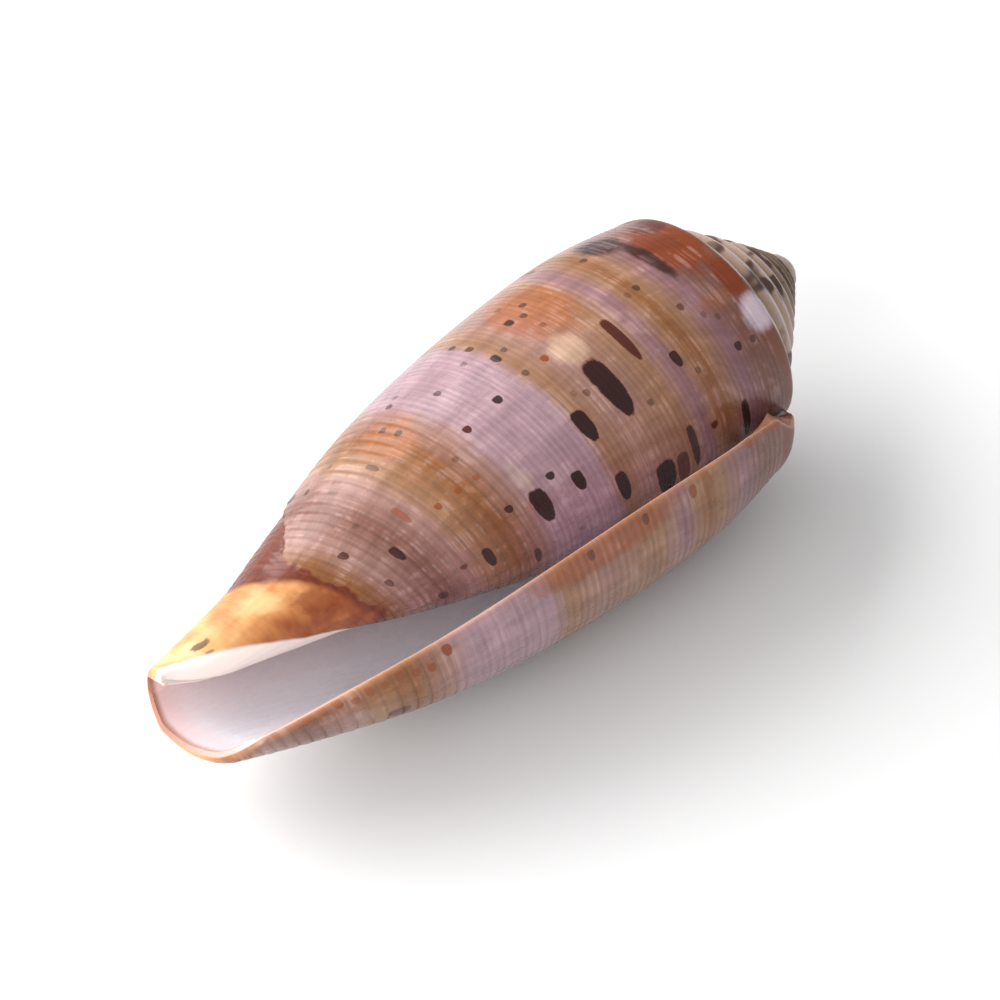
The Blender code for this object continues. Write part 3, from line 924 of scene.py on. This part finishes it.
# %% Give the faces their marks
# A face of a mark lies within so many half sizes of its centre, and the half sizes get a margin in
# degrees and in millimetres
MARK_REACH = 1.7
MARK_MARGIN = (1.3, 0.1)
NO_MARK = 9.0
skin = shell.data
face_count = len(skin.polygons)
starts = np.zeros(face_count, np.int32)
lengths = np.zeros(face_count, np.int32)
skin.polygons.foreach_get("loop_start", starts)
skin.polygons.foreach_get("loop_total", lengths)
map_values = np.zeros(len(skin.loops) * 2, np.float32)
skin.uv_layers["growth_map"].data.foreach_get("uv", map_values)
corner_places = map_values.reshape(-1, 2) * (360.0, MAP_LENGTH / MM)
face_places = np.add.reduceat(corner_places, starts, axis=0) / lengths[:, None]
nearest = np.full(face_count, NO_MARK)
owner = np.full(face_count, -1)
marks = np.array(MARKS)
for index, centre in enumerate(marks[:, 0:2]):
    half_size = marks[index, 2:4] + MARK_MARGIN
    across = np.abs((face_places - centre) / half_size).max(axis=1)
    closer = across < np.minimum(nearest, MARK_REACH)
    nearest[closer] = across[closer]
    owner[closer] = index
loop_owner = np.repeat(owner, lengths)
marked = loop_owner >= 0
mark_map = np.full((len(skin.loops), 2), NO_MARK)
mark_look = np.zeros((len(skin.loops), 2))
chosen = marks[loop_owner[marked]]
mark_map[marked] = (corner_places[marked] - chosen[:, 0:2]) / chosen[:, 2:4]
mark_look[marked] = chosen[:, 4:6]
for name, values in (("mark_map", mark_map), ("mark_look", mark_look)):
    layer = skin.uv_layers.new(name=name)
    layer.data.foreach_set("uv", values.reshape(-1).astype(np.float32))
print("faces with a mark:", int((owner >= 0).sum()))

# %% [markdown]
# A few helpers keep the shader cells short. Each adds a node to the tree that its inputs come
# from, and fills the inputs in order: a value is set, and an output of another node is linked.
# All noise is stretched over the growth map, so one table holds the grain of each.

# %% Helpers for nodes
# Grain of each noise: changes per degree and per millimetre, detail, roughness
GRAINS = {
    "waver": (0.05, 0.16, 4.0, 0.55),
    "fine waver": (0.5, 0.35, 2.0, 0.55),
    "shade border": (0.03, 0.05, 3.0, 0.55),
    "Fine": (1.1, 0.10, 3.0, 0.6),
    "Broad": (0.22, 0.05, 3.0, 0.55),
    "Clouds": (0.09, 0.30, 4.0, 0.6),
    "Streak": (0.018, 3.0, 2.0, 0.5),
    "patch edge": (0.12, 0.9, 4.0, 0.6),
    "mark edge": (0.35, 2.2, 3.0, 0.6),
    "wide streaks": (0.018, 0.26, 2.0, 0.45),
    "thin streaks": (0.05, 2.2, 3.0, 0.5),
    "flames": (0.045, 1.3, 1.5, 0.5),
    "specks": (0.9, 3.6, 1.0, 0.55),
}


def colour(red, green, blue):
    """Linear colour from numbers between 0 and 255, as on a paint chart."""
    parts = [part / 255.0 for part in (red, green, blue)]
    return (*[((part + 0.055) / 1.055) ** 2.4 for part in parts], 1.0)


def fill(socket, value):
    if isinstance(value, bpy.types.NodeSocket):
        socket.id_data.links.new(value, socket)
    else:
        socket.default_value = value


def fill_named(node, **values):
    """Fill inputs by name; the words of a name are joined by underscores."""
    for name, value in values.items():
        fill(node.inputs[name.replace("_", " ")], value)


def add_node(tree, kind, *inputs, **settings):
    made = tree.nodes.new("ShaderNode" + kind)
    for name, value in settings.items():
        setattr(made, name, value)
    for socket, value in zip(made.inputs, inputs):
        fill(socket, value)
    return made


def tree_of(values):
    """Tree of the first value that is an output of a node."""
    return next(value.id_data for value in values if isinstance(value, bpy.types.NodeSocket))


def math_node(operation, *terms):
    return add_node(tree_of(terms), "Math", *terms, operation=operation).outputs[0]


def times_node(left, right):
    return math_node("MULTIPLY", left, right)


def sum_node(start, *parts):
    """A start value, plus each value times its share."""
    for value, share in parts:
        start = math_node("MULTIPLY_ADD", value, share, start)
    return start


def vector_node(operation, *terms):
    return add_node(tree_of(terms), "VectorMath", *terms, operation=operation).outputs[0]


def axes(vector):
    return add_node(vector.id_data, "SeparateXYZ", vector).outputs


def map_place(degrees, drop):
    return add_node(tree_of((degrees, drop)), "CombineXYZ", degrees, drop, 0.0).outputs[0]


def step_node(value, start, end, low=0.0, high=1.0):
    """Smooth step from low to high while the value goes from start to end."""
    limits = (value, start, end, low, high)
    return add_node(value.id_data, "MapRange", *limits, interpolation_type="SMOOTHSTEP").outputs[0]


def noise_node(vector, grain):
    """Noise from 0 to 1 over a stretched growth map."""
    per_degree, per_mm, detail, roughness = GRAINS[grain]
    stretched = vector_node("MULTIPLY", vector, (per_degree, per_mm, 1.0))
    made = add_node(vector.id_data, "TexNoise", stretched)
    fill_named(made, Scale=1.0, Detail=detail, Roughness=roughness)
    return made.outputs[0]


def uneven_node(vector, grain):
    """Noise around zero."""
    return math_node("SUBTRACT", noise_node(vector, grain), 0.5)


def mix_node(share, below, above):
    made = add_node(share.id_data, "Mix", share, data_type="RGBA")
    fill(made.inputs[6], below)
    fill(made.inputs[7], above)
    return made.outputs[2]


def fade_node(paint, tint, value, *limits):
    """Mix a colour over a paint by a smooth step of a value."""
    return mix_node(step_node(value, *limits), paint, tint)


def ramp_node(value, stops):
    made = add_node(value.id_data, "ValToRGB", value)
    ends = made.color_ramp.elements
    for spare in list(ends)[1:]:
        ends.remove(spare)
    ends[0].position, ends[0].color = stops[0]
    for position, tint in stops[1:]:
        ends.new(position).color = tint
    return made.outputs[0]


def new_group(name, inputs, outputs):
    """A group with its given outputs and the inputs of its result."""
    group = bpy.data.node_groups.new(name, "ShaderNodeTree")
    for way, sockets in (("INPUT", inputs), ("OUTPUT", outputs)):
        for label, kind in sockets.items():
            group.interface.new_socket(label, in_out=way, socket_type="NodeSocket" + kind)
    given = group.nodes.new("NodeGroupInput").outputs
    return group, given, group.nodes.new("NodeGroupOutput").inputs


def group_node(group, **inputs):
    made = add_node(tree_of(inputs.values()), "Group", node_tree=group)
    fill_named(made, **inputs)
    return made.outputs


print("white is", [round(part, 3) for part in colour(255, 255, 255)])

# %% [markdown]
# The ground colour comes in spiral bands of six paints, lilac and orange-tan by turns, with edges
# that waver as the shell grew. The group reads the growth map and looks the paint up in a ramp. About
# a turn behind the lip, on the side away from the key lamp, the same paint is darker as a painted
# shade, and the growth angle mixes the two.

# %% Spiral bands
BAND_START = 10.0
BAND_END = 70.0
LILAC = colour(150, 121, 128)
MAUVE = colour(129, 93, 98)
ROSE = colour(141, 106, 97)
SAND = colour(137, 99, 72)
OCHRE = colour(122, 76, 42)
BROWN_PAINT = colour(112, 73, 62)
# Painted shade: how much the bands darken on the side away from the key lamp
AWAY_SIDE_PAINTED_SHADE = (0.86, 0.74, 0.78)
# Growth angles between which the painted shade fades in, and degrees by which noise moves them
PAINTED_SHADE_FROM = (-290.0, -350.0)
PAINTED_SHADE_WAVER = 30.0
# Millimetres by which noise moves a band's edge, and the share of the finer noise in it
BAND_WAVER = 1.6
FINE_WAVER = 0.4
# Millimetres below the apex, and the paint there
BANDS = (
    (10.0, OCHRE), (13.5, BROWN_PAINT), (15.8, BROWN_PAINT), (18.0, MAUVE), (20.6, SAND),
    (21.6, OCHRE), (22.8, SAND), (24.2, MAUVE), (25.4, ROSE), (26.4, SAND), (32.0, ROSE),
    (35.2, SAND), (36.6, LILAC), (43.6, LILAC), (45.0, ROSE), (48.0, OCHRE), (51.2, SAND),
    (53.0, ROSE), (56.0, BROWN_PAINT), (59.5, ROSE), (61.5, OCHRE), (64.0, OCHRE),
)
bands, given, result = new_group(
    "spiral_bands", {"Place": "Vector", "Grown at": "Float"}, {"Colour": "Color"}
)
fine_waver = uneven_node(given["Place"], "fine waver")
waver = sum_node(uneven_node(given["Place"], "waver"), (fine_waver, FINE_WAVER))
drop = sum_node(axes(given["Place"])[1], (waver, BAND_WAVER))
band_length = BAND_END - BAND_START
position = math_node("DIVIDE", math_node("SUBTRACT", drop, BAND_START), band_length)
far = ramp_node(position, [((row - BAND_START) / band_length, paint) for row, paint in BANDS])
# Painted shade: the bands made darker on the side away from the key lamp, mixed in by growth angle
shaded_bands = vector_node("MULTIPLY", far, AWAY_SIDE_PAINTED_SHADE)
shade_angle = sum_node(given["Grown at"], (noise_node(given["Place"], "shade border"), PAINTED_SHADE_WAVER))
fill(result["Colour"], mix_node(step_node(shade_angle, *PAINTED_SHADE_FROM), far, shaded_bands))
print("bands:", len(BANDS))

# %% [markdown]
# Growth lines show as pale and dark hair lines, broader shades and clouds that follow former lips.
# They are noise that is stretched hard along the growth map, and all three finishes share them.
# Across them run the spiral threads, one crest for each cord, with streaks of their own.

# %% Growth lines and threads
# Values between which each noise goes from 0 to 1
CONTRASTS = {"Fine": (0.3, 0.7), "Broad": (0.32, 0.68), "Clouds": (0.3, 0.7), "Streak": (0.3, 0.7)}


def contrast_node(vector, label):
    return step_node(noise_node(vector, label), *CONTRASTS[label])


growth_lines, given, result = new_group(
    "growth_lines",
    {"Grown at": "Float", "Place": "Vector"},
    {"Fine": "Float", "Broad": "Float", "Clouds": "Float"},
)
line_place = map_place(given["Grown at"], axes(given["Place"])[1])
for label in ("Fine", "Broad", "Clouds"):
    fill(result[label], contrast_node(line_place, label))

threads, given, result = new_group(
    "spiral_threads", {"Cord": "Float", "Place": "Vector"}, {"Crest": "Float", "Streak": "Float"}
)
wave = math_node("SINE", times_node(given["Cord"], math.pi))
fill(result["Crest"], math_node("ABSOLUTE", wave))
fill(result["Streak"], contrast_node(given["Place"], "Streak"))
print("sockets of the thread group:", [item.name for item in threads.interface.items_tree])

# %% [markdown]
# Larger patches, such as the rust at the shoulder, are soft ovals with a ragged edge, and each has
# its own place, size and colour. A group gives the mask of one. The group for painted marks draws
# a long drop that is thin at its old end and blunt at its new end, from the UV map of the marks.

# %% Patches and marks
# Distances from the centre, in half sizes, between which a patch, a mark and a mark's dark heart
# fade in
PATCH_EDGE = (1.25, 0.65)
MARK_EDGE = (1.35, 0.75)
MARK_HEART = (1.1, 0.72)
MARK_RAGGED = 0.9
# Where along a mark its width grows, and from which share of the full width
MARK_TAIL = (-1.25, 0.0, 0.55, 1.0)
BLUNT_ALONG = 4.5
BLUNT_ACROSS = 3.2
MARK_RIM = colour(92, 36, 16)
MARK_KINDS = (
    (BROWN, colour(40, 14, 12)), (RED, colour(66, 18, 8)), (OLIVE, colour(82, 44, 16)),
    (TAN, colour(120, 56, 20)),
)
patch, given, result = new_group(
    "soft_patch",
    {"Place": "Vector", "Centre": "Vector", "Half size": "Vector", "Ragged": "Float",
     "Strength": "Float"},
    {"Mask": "Float"},
)
offset = vector_node("SUBTRACT", given["Place"], given["Centre"])
offset = vector_node("DIVIDE", offset, given["Half size"])
distance = add_node(patch, "VectorMath", offset, operation="LENGTH").outputs[1]
distance = sum_node(distance, (uneven_node(given["Place"], "patch edge"), given["Ragged"]))
fill(result["Mask"], times_node(step_node(distance, *PATCH_EDGE), given["Strength"]))

mark, given, result = new_group(
    "painted_mark",
    {"Mark map": "Vector", "Mark look": "Vector", "Place": "Vector"},
    {"Mask": "Float", "Colour": "Color"},
)
along, across, _ = axes(given["Mark map"])
kind, strength, _ = axes(given["Mark look"])
across = math_node("DIVIDE", across, step_node(along, *MARK_TAIL))
across = math_node("POWER", math_node("ABSOLUTE", across), BLUNT_ACROSS)
along = math_node("POWER", math_node("ABSOLUTE", along), BLUNT_ALONG)
ragged = uneven_node(given["Place"], "mark edge")
distance = sum_node(math_node("ADD", along, across), (ragged, MARK_RAGGED))
fill(result["Mask"], times_node(step_node(distance, *MARK_EDGE), strength))
fill(result["Colour"], fade_node(MARK_RIM, ramp_node(kind, MARK_KINDS), distance, *MARK_HEART))
print("kinds of mark:", len(MARK_KINDS))

# %% [markdown]
# Some areas of the wall are richer or paler than their band: rust at the shoulder, orange beside
# the dashes, a white spot where the shoulder is worn, and olive and cream stains on the fasciole.
# Noise alone would put them anywhere, so each is a row with its own place.

# %% Patches of the wall
# Centre and half size in degrees and millimetres, ragged edge, strength, colour
PATCHES = (
    (-350.0, 31.0, 14.0, 4.5, 0.8, 0.35, (146, 102, 79)),
    (-270.0, 29.2, 22.0, 3.6, 0.9, 0.55, (147, 75, 20)),
    (-272.0, 47.6, 15.0, 2.6, 0.9, 0.5, (150, 83, 30)),
    (-317.5, 15.6, 4.5, 2.6, 0.6, 0.5, (132, 79, 49)),
    (-352.0, 12.8, 15.0, 1.3, 0.7, 0.6, (108, 62, 43)),
    (-311.0, 12.8, 13.0, 1.5, 0.8, 0.92, (112, 44, 10)),
    (-281.0, 14.4, 21.0, 3.4, 0.8, 0.97, (116, 48, 8)),
    (-262.0, 13.3, 10.0, 1.8, 0.9, 0.8, (72, 18, 4)),
    (-283.0, 17.4, 17.0, 0.75, 0.8, 0.9, (44, 10, 2)),
    (-260.0, 18.6, 12.0, 1.8, 0.8, 0.95, (44, 12, 4)),
    (-333.0, 12.6, 10.0, 1.9, 0.5, 0.85, (196, 178, 190)),
    (-298.0, 30.9, 9.0, 1.6, 0.6, 0.8, (179, 147, 123)),
    (-332.0, 43.5, 9.0, 0.9, 0.6, 0.65, (164, 138, 130)),
    (-37.5, 40.5, 3.5, 0.5, 0.6, 0.5, (166, 133, 131)),
    (-100.0, 15.0, 30.0, 2.6, 1.0, 0.8, (111, 43, 17)),
    (-180.0, 14.0, 22.0, 2.2, 1.0, 0.7, (115, 50, 23)),
    (-150.0, 31.0, 26.0, 3.5, 1.0, 0.5, (152, 82, 33)),
    (-4.0, 31.0, 8.0, 7.0, 0.7, 0.65, (134, 63, 19)),
    (-6.0, 12.6, 5.0, 2.4, 0.7, 0.6, (135, 68, 23)),
    (-12.0, 53.0, 10.0, 7.0, 0.8, 0.4, (134, 76, 28)),
)
# Patches that begin above this row also lie on the ramp of the spire
RAMP_PATCH_ROW = 13.0

# Stains on the fasciole, in the same columns
FASCIOLE_STAINS = (
    (-268.0, 72.1, 7.0, 0.8, 2.2, 0.8, (62, 44, 14)),
    (-284.0, 73.0, 4.0, 0.4, 2.0, 0.6, (84, 52, 18)),
    (-322.0, 64.8, 20.0, 1.6, 1.2, 0.6, (112, 44, 12)),
    (-372.0, 66.5, 14.0, 2.4, 1.2, 0.5, (110, 46, 18)),
    (-285.0, 66.8, 16.0, 1.5, 1.0, 0.5, (214, 180, 128)),
)


def add_patches(place, paint, rows):
    """Mix the patches of these rows over a paint, one after another."""
    for stage, drop, half_degrees, half_drop, ragged, strength, tint in rows:
        mask = group_node(
            patch, Place=place, Centre=(stage, drop, 0.0), Half_size=(half_degrees, half_drop, 1.0),
            Ragged=ragged, Strength=strength,
        )["Mask"]
        paint = mix_node(mask, paint, colour(*tint))
    return paint


print("patches and stains:", len(PATCHES) + len(FASCIOLE_STAINS))

# %% [markdown]
# All three finishes start from the growth map, the growth lines and what the corners keep. They
# all end in one shader, with a bump much finer than the mesh, as the surface is smooth to a finger.

# %% Start and end of a finish
def start_finish(index):
    """Shader of a finish, its place on the growth map, its growth lines and a kept value."""
    finishes[index].use_nodes = True
    tree = finishes[index].node_tree
    growth_uv = add_node(tree, "UVMap", uv_map="growth_map").outputs[0]
    place = vector_node("MULTIPLY", growth_uv, (360.0, MAP_LENGTH / MM, 0.0))

    def kept(name):
        return add_node(tree, "Attribute", attribute_name=name).outputs["Fac"]

    lines = group_node(growth_lines, Grown_at=kept("grown_at"), Place=place)
    return tree.nodes["Principled BSDF"], place, lines, kept


def end_finish(shader, paint, roughness, height, bump_strength, bump_distance, **values):
    """Link paint, roughness and a fine bump to the shader, and set its other values."""
    bump = add_node(shader.id_data, "Bump")
    fill_named(bump, Strength=bump_strength, Distance=bump_distance, Height=height)
    fill_named(shader, Base_Color=paint, Roughness=roughness, Normal=bump.outputs[0], **values)
    print("nodes of the finish:", len(shader.id_data.nodes))


print("finishes:", [material.name for material in finishes])

# %% [markdown]
# The painted wall wears the whole pattern: bands, patches, shades of lines and threads with a painted
# shade in the grooves and a painted highlight on the crests, the marks, the dark neck, the orange
# fasciole with cream streaks and stains, the white callus and the rim.
# Each is mixed over the one before, by a mask from the growth map or from the distances kept at
# the corners. A thin coat gives the soft gloss of a shell that isn't polished.

# %% Painted wall
NECK_PAINT = colour(62, 16, 6)
NECK_STREAK = colour(118, 52, 26)
FASCIOLE_TONES = (
    (0.0, colour(98, 40, 18)), (0.3, colour(140, 72, 36)), (0.6, colour(182, 118, 68)),
    (0.85, colour(204, 158, 106)), (1.0, colour(214, 178, 134)),
)
CALLUS_PAINT = colour(222, 208, 202)
PALE_STREAK = colour(196, 172, 170)
RIM_PAINT = colour(176, 124, 88)
# Fades: value at the start and at the end, then the mask at both where it isn't 0 and 1
# Painted shade in the grooves between threads; the same mask makes them duller
GROOVES = (0.45, 0.95)
# Painted highlight along the thread crests
CREST_HIGHLIGHT = (0.75, 1.0)
STREAK_FADE = (0.3, 1.0, 0.0, 0.22)
CLOUD_FADE = (0.45, 0.95)
WIDE_FADE = (0.25, 0.75)
THIN_FADE = (0.3, 0.7)
CREAM_SIDE = (-345.0, -265.0, -0.08, 0.38)
CREAM_LOW = (0.0, 6.0, 0.0, 0.16)
WALL_RIM = (0.45, 0.1, 0.0, 0.3)
# Borders of neck, fasciole and callus: millimetres that streaks move them by, and the fade
BORDERS = (
    ("past_cords", 0.8, (-0.15, 0.25)),
    ("past_fasciole", 1.6, (-0.5, 0.7)),
    ("past_callus", 1.2, (-0.4, 0.5)),
)
# Millimetres that the fasciole's streaks sink with each degree
STREAK_SLANT = 0.05
# Values to which the masks and lines of each sum are added
WALL_SHADE = 0.84
FASCIOLE_TONE = 0.08
WALL_ROUGHNESS = 0.24
shader, place, lines, kept = start_finish(PAINT)
tree = shader.id_data
thread = group_node(threads, Cord=kept("cord"), Place=place)
paint = group_node(bands, Place=place, Grown_at=kept("grown_at"))["Colour"]
paint = add_patches(place, paint, PATCHES)
# Shades that follow the lip and the threads make the paint darker or lighter in its own hue; the
# grooves get a painted shade and the crests a painted highlight
groove = step_node(math_node("SUBTRACT", 1.0, thread["Crest"]), *GROOVES)
shade = sum_node(
    WALL_SHADE, (lines["Fine"], 0.03), (lines["Broad"], -0.14), (lines["Clouds"], 0.24),
    (thread["Streak"], 0.12), (groove, -0.06), (step_node(thread["Crest"], *CREST_HIGHLIGHT), 0.10),
)
paint = vector_node("MULTIPLY", paint, shade)
streaks = times_node(step_node(thread["Streak"], *STREAK_FADE), step_node(lines["Clouds"], *CLOUD_FADE))
paint = mix_node(streaks, paint, PALE_STREAK)
# Painted marks lie on the bands
mark_maps = [add_node(tree, "UVMap", uv_map=name).outputs[0] for name in ("mark_map", "mark_look")]
drawn = group_node(mark, Mark_map=mark_maps[0], Mark_look=mark_maps[1], Place=place)
paint = mix_node(drawn["Mask"], paint, drawn["Colour"])
# Neck, fasciole and callus
degrees, drop, _ = axes(place)
slant_place = map_place(degrees, sum_node(drop, (degrees, STREAK_SLANT)))
wide_streaks = noise_node(slant_place, "wide streaks")
thin_streaks = noise_node(slant_place, "thin streaks")
edge_noise = math_node("SUBTRACT", wide_streaks, 0.5)
neck, fasciole, callus = [
    step_node(sum_node(kept(border), (edge_noise, moved)), *fade) for border, moved, fade in BORDERS
]
paint = mix_node(neck, paint, mix_node(thin_streaks, NECK_PAINT, NECK_STREAK))
tone = sum_node(
    FASCIOLE_TONE, (step_node(wide_streaks, *WIDE_FADE), 0.40),
    (step_node(thin_streaks, *THIN_FADE), 0.06), (step_node(degrees, *CREAM_SIDE), 1.0),
    (step_node(kept("past_fasciole"), *CREAM_LOW), 1.0),
)
paint = mix_node(fasciole, paint, ramp_node(tone, FASCIOLE_TONES))
paint = add_patches(place, paint, FASCIOLE_STAINS)
paint = mix_node(callus, paint, CALLUS_PAINT)
paint = fade_node(paint, RIM_PAINT, kept("from_edge"), *WALL_RIM)
# Grooves, growth lines and the fasciole are duller
roughness = sum_node(WALL_ROUGHNESS, (lines["Clouds"], 0.10), (groove, 0.25), (fasciole, 0.12))
height = sum_node(thin_streaks, (lines["Fine"], 0.5))
end_finish(
    shader, paint, roughness, height, bump_strength=0.05, bump_distance=0.00004,
    Specular_IOR_Level=0.3, Coat_Weight=0.10, Coat_Roughness=0.16,
)

# %% [markdown]
# On the spire each whorl shows only its ramp, white to lilac, with dark flames that cross it, tan
# at the shoulder and grey-brown in the suture. The oldest whorls are worn to olive-brown, and the
# tip is bare and pale.

# %% Spire
SPIRE_TONES = (
    (0.0, colour(70, 48, 38)), (0.07, colour(116, 90, 80)), (0.18, colour(184, 166, 174)),
    (0.78, colour(190, 172, 176)), (1.0, colour(170, 140, 112)),
)
FLAME_PAINT = colour(58, 20, 10)
OLD_PAINT = colour(84, 60, 36)
TIP_PAINT = colour(168, 150, 138)
LINE_STRENGTH = 0.12
FLAME_STRENGTH = 0.9
SPIRE_ROUGHNESS = 0.3
# Fades, as for the wall
RAMP_SHARE = (RAMP_MAP_START / MM, SUTURE_ROW / MM)
FLAMES = (0.52, 0.60)
OUT_OF_SUTURE = (0.05, 0.12)
OLD_WHORLS = (-1100.0, -2100.0, 0.0, 0.8)
BARE_TIP = (-2900.0, -3300.0)
OVER_SHOULDER = (10.8, 12.0)
LAST_WHORL = (-420.0, -390.0)
SPIRE_RIM = (0.5, 0.1, 0.0, 0.7)
shader, place, lines, kept = start_finish(SPIRE)
degrees, drop, _ = axes(place)
share = step_node(drop, *RAMP_SHARE)
paint = ramp_node(share, SPIRE_TONES)
paint = mix_node(times_node(lines["Fine"], LINE_STRENGTH), paint, OLD_PAINT)
flames = step_node(noise_node(map_place(degrees, share), "flames"), *FLAMES)
flames = times_node(flames, step_node(share, *OUT_OF_SUTURE))
paint = mix_node(times_node(flames, FLAME_STRENGTH), paint, FLAME_PAINT)
paint = fade_node(paint, OLD_PAINT, degrees, *OLD_WHORLS)
paint = fade_node(paint, TIP_PAINT, degrees, *BARE_TIP)
# The last whorl's bands and patches run over the shoulder onto its ramp
over_shoulder = times_node(step_node(drop, *OVER_SHOULDER), step_node(degrees, *LAST_WHORL))
band_paint = group_node(bands, Place=place, Grown_at=kept("grown_at"))["Colour"]
paint = mix_node(over_shoulder, paint, band_paint)
paint = add_patches(place, paint, [row for row in PATCHES if row[1] - row[3] < RAMP_PATCH_ROW])
paint = fade_node(paint, RIM_PAINT, kept("from_edge"), *SPIRE_RIM)
roughness = sum_node(SPIRE_ROUGHNESS, (lines["Clouds"], 0.15))
end_finish(
    shader, paint, roughness, lines["Fine"], bump_strength=0.2, bump_distance=0.00005,
    Specular_IOR_Level=0.3, Coat_Weight=0.05, Coat_Roughness=0.2,
)

# %% [markdown]
# The inside is bare porcelain, white with a lilac cast, a little pink toward the rim and at depth,
# with a few dark specks. At the very edge the coloured outer layer shows, browner toward the
# anterior end, and the corner of the lip at the shoulder is stained brown.

# %% Porcelain of the mouth
PORCELAIN = colour(240, 240, 248)
PORCELAIN_DEEP = colour(214, 186, 182)
PORCELAIN_EDGE = colour(226, 184, 182)
SPECK = colour(90, 78, 70)
EDGE_PALE = colour(178, 142, 128)
EDGE_BROWN = colour(150, 88, 58)
CORNER_STAIN = colour(132, 80, 52)
DEPTH_STRENGTH = 0.12
STAIN_STRENGTH = 0.85
MOUTH_ROUGHNESS = 0.22
# Fades, as for the wall
DEPTH = (-60.0, -200.0)
NEAR_EDGE = (3.0, 0.8, 0.0, 0.6)
ANTERIOR = (63.0, 70.0)
OUTER_LAYER = (0.85, 0.25, 0.0, 0.9)
CORNER_ROWS = (16.0, 12.5)
CORNER_EDGE = (5.0, 1.5)
SPECKS = (0.78, 0.82, 0.0, 0.6)
shader, place, lines, kept = start_finish(MOUTH)
degrees, drop, _ = axes(place)
paint = fade_node(PORCELAIN, PORCELAIN_DEEP, degrees, *DEPTH)
paint = fade_node(paint, PORCELAIN_EDGE, kept("from_edge"), *NEAR_EDGE)
paint = mix_node(times_node(lines["Broad"], DEPTH_STRENGTH), paint, PORCELAIN_DEEP)
edge_paint = fade_node(EDGE_PALE, EDGE_BROWN, drop, *ANTERIOR)
paint = fade_node(paint, edge_paint, kept("from_edge"), *OUTER_LAYER)
corner = times_node(step_node(drop, *CORNER_ROWS), step_node(kept("from_edge"), *CORNER_EDGE))
paint = mix_node(times_node(corner, STAIN_STRENGTH), paint, CORNER_STAIN)
paint = fade_node(paint, SPECK, noise_node(place, "specks"), *SPECKS)
roughness = sum_node(MOUTH_ROUGHNESS, (lines["Clouds"], 0.10))
end_finish(
    shader, paint, roughness, lines["Broad"], bump_strength=0.08, bump_distance=0.00004,
    Coat_Weight=0.3, Coat_Roughness=0.12,
)

# %% [markdown]
# The shell stands for the solid and rides on its one body. It stays inside the solid's own box.

# %% Frame
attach(shell, "root")
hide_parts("shell")
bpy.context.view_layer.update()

# %% [markdown]
# The floor is one large pale plane, and the world is white, so that the picture has a plain pale
# ground. One big soft lamp stands high at the back left, as a window would. It lays the shadow to
# the front right and draws a bright line along the upper edge. A second, weaker lamp from the left
# lights the mouth.

# %% Floor, light and camera
FLOOR_SIZE = 6.0
FLOOR_COLOUR = (0.66, 0.66, 0.66, 1.0)
FLOOR_ROUGHNESS = 0.9
WORLD_COLOUR = (1.0, 1.0, 1.0, 1.0)
WORLD_LIGHT = 0.6
# Name, direction from the shell, distance, size and power
LAMPS = (
    ("key_lamp", (-0.45, 0.80, 0.65), 0.9, 1.0, 16.5),
    ("fill_lamp", (-0.90, -0.15, 0.45), 0.9, 0.8, 9.0),
)
CAMERA_AT = (-0.18174, -0.21578, 0.29638)
CAMERA_TARGET = (-0.00009, 0.00009, 0.01072)
CAMERA_ROLL = -2.918
CAMERA_LENS = 200.04
CAMERA_CLIP = 0.01
bpy.ops.object.select_all(action="DESELECT")
bpy.ops.mesh.primitive_plane_add(size=FLOOR_SIZE)
floor = bpy.context.object
floor.name = "floor"
paper = bpy.data.materials.new("pale_floor")
paper.use_nodes = True
fill_named(
    paper.node_tree.nodes["Principled BSDF"],
    Base_Color=FLOOR_COLOUR, Roughness=FLOOR_ROUGHNESS, Specular_IOR_Level=0.0,
)
floor.data.materials.append(paper)
world = bpy.data.worlds.new("studio")
world.use_nodes = True
fill_named(world.node_tree.nodes["Background"], Color=WORLD_COLOUR, Strength=WORLD_LIGHT)
bpy.context.scene.world = world


def hang_lamp(name, direction, distance, size, power):
    """A square soft lamp that hangs in a direction and shines at the shell."""
    direction = Vector(direction).normalized()
    bpy.ops.object.light_add(type="AREA", location=direction * distance)
    lamp = bpy.context.object
    lamp.name = name
    lamp.rotation_euler = direction.to_track_quat("Z", "Y").to_euler()
    lamp.data.size = size
    lamp.data.energy = power


for row in LAMPS:
    hang_lamp(*row)
bpy.ops.object.camera_add(location=CAMERA_AT)
camera = bpy.context.object
looks_back = (Vector(CAMERA_AT) - Vector(CAMERA_TARGET)).normalized()
level = looks_back.to_track_quat("Z", "Y").to_matrix()
roll = Matrix.Rotation(math.radians(CAMERA_ROLL), 3, "Z")
camera.rotation_euler = (level @ roll).to_euler()
camera.data.lens = CAMERA_LENS
camera.data.clip_start = CAMERA_CLIP
bpy.context.scene.camera = camera
bpy.context.scene.view_settings.view_transform = "Standard"
print("camera turned by:", [round(math.degrees(angle), 2) for angle in camera.rotation_euler])
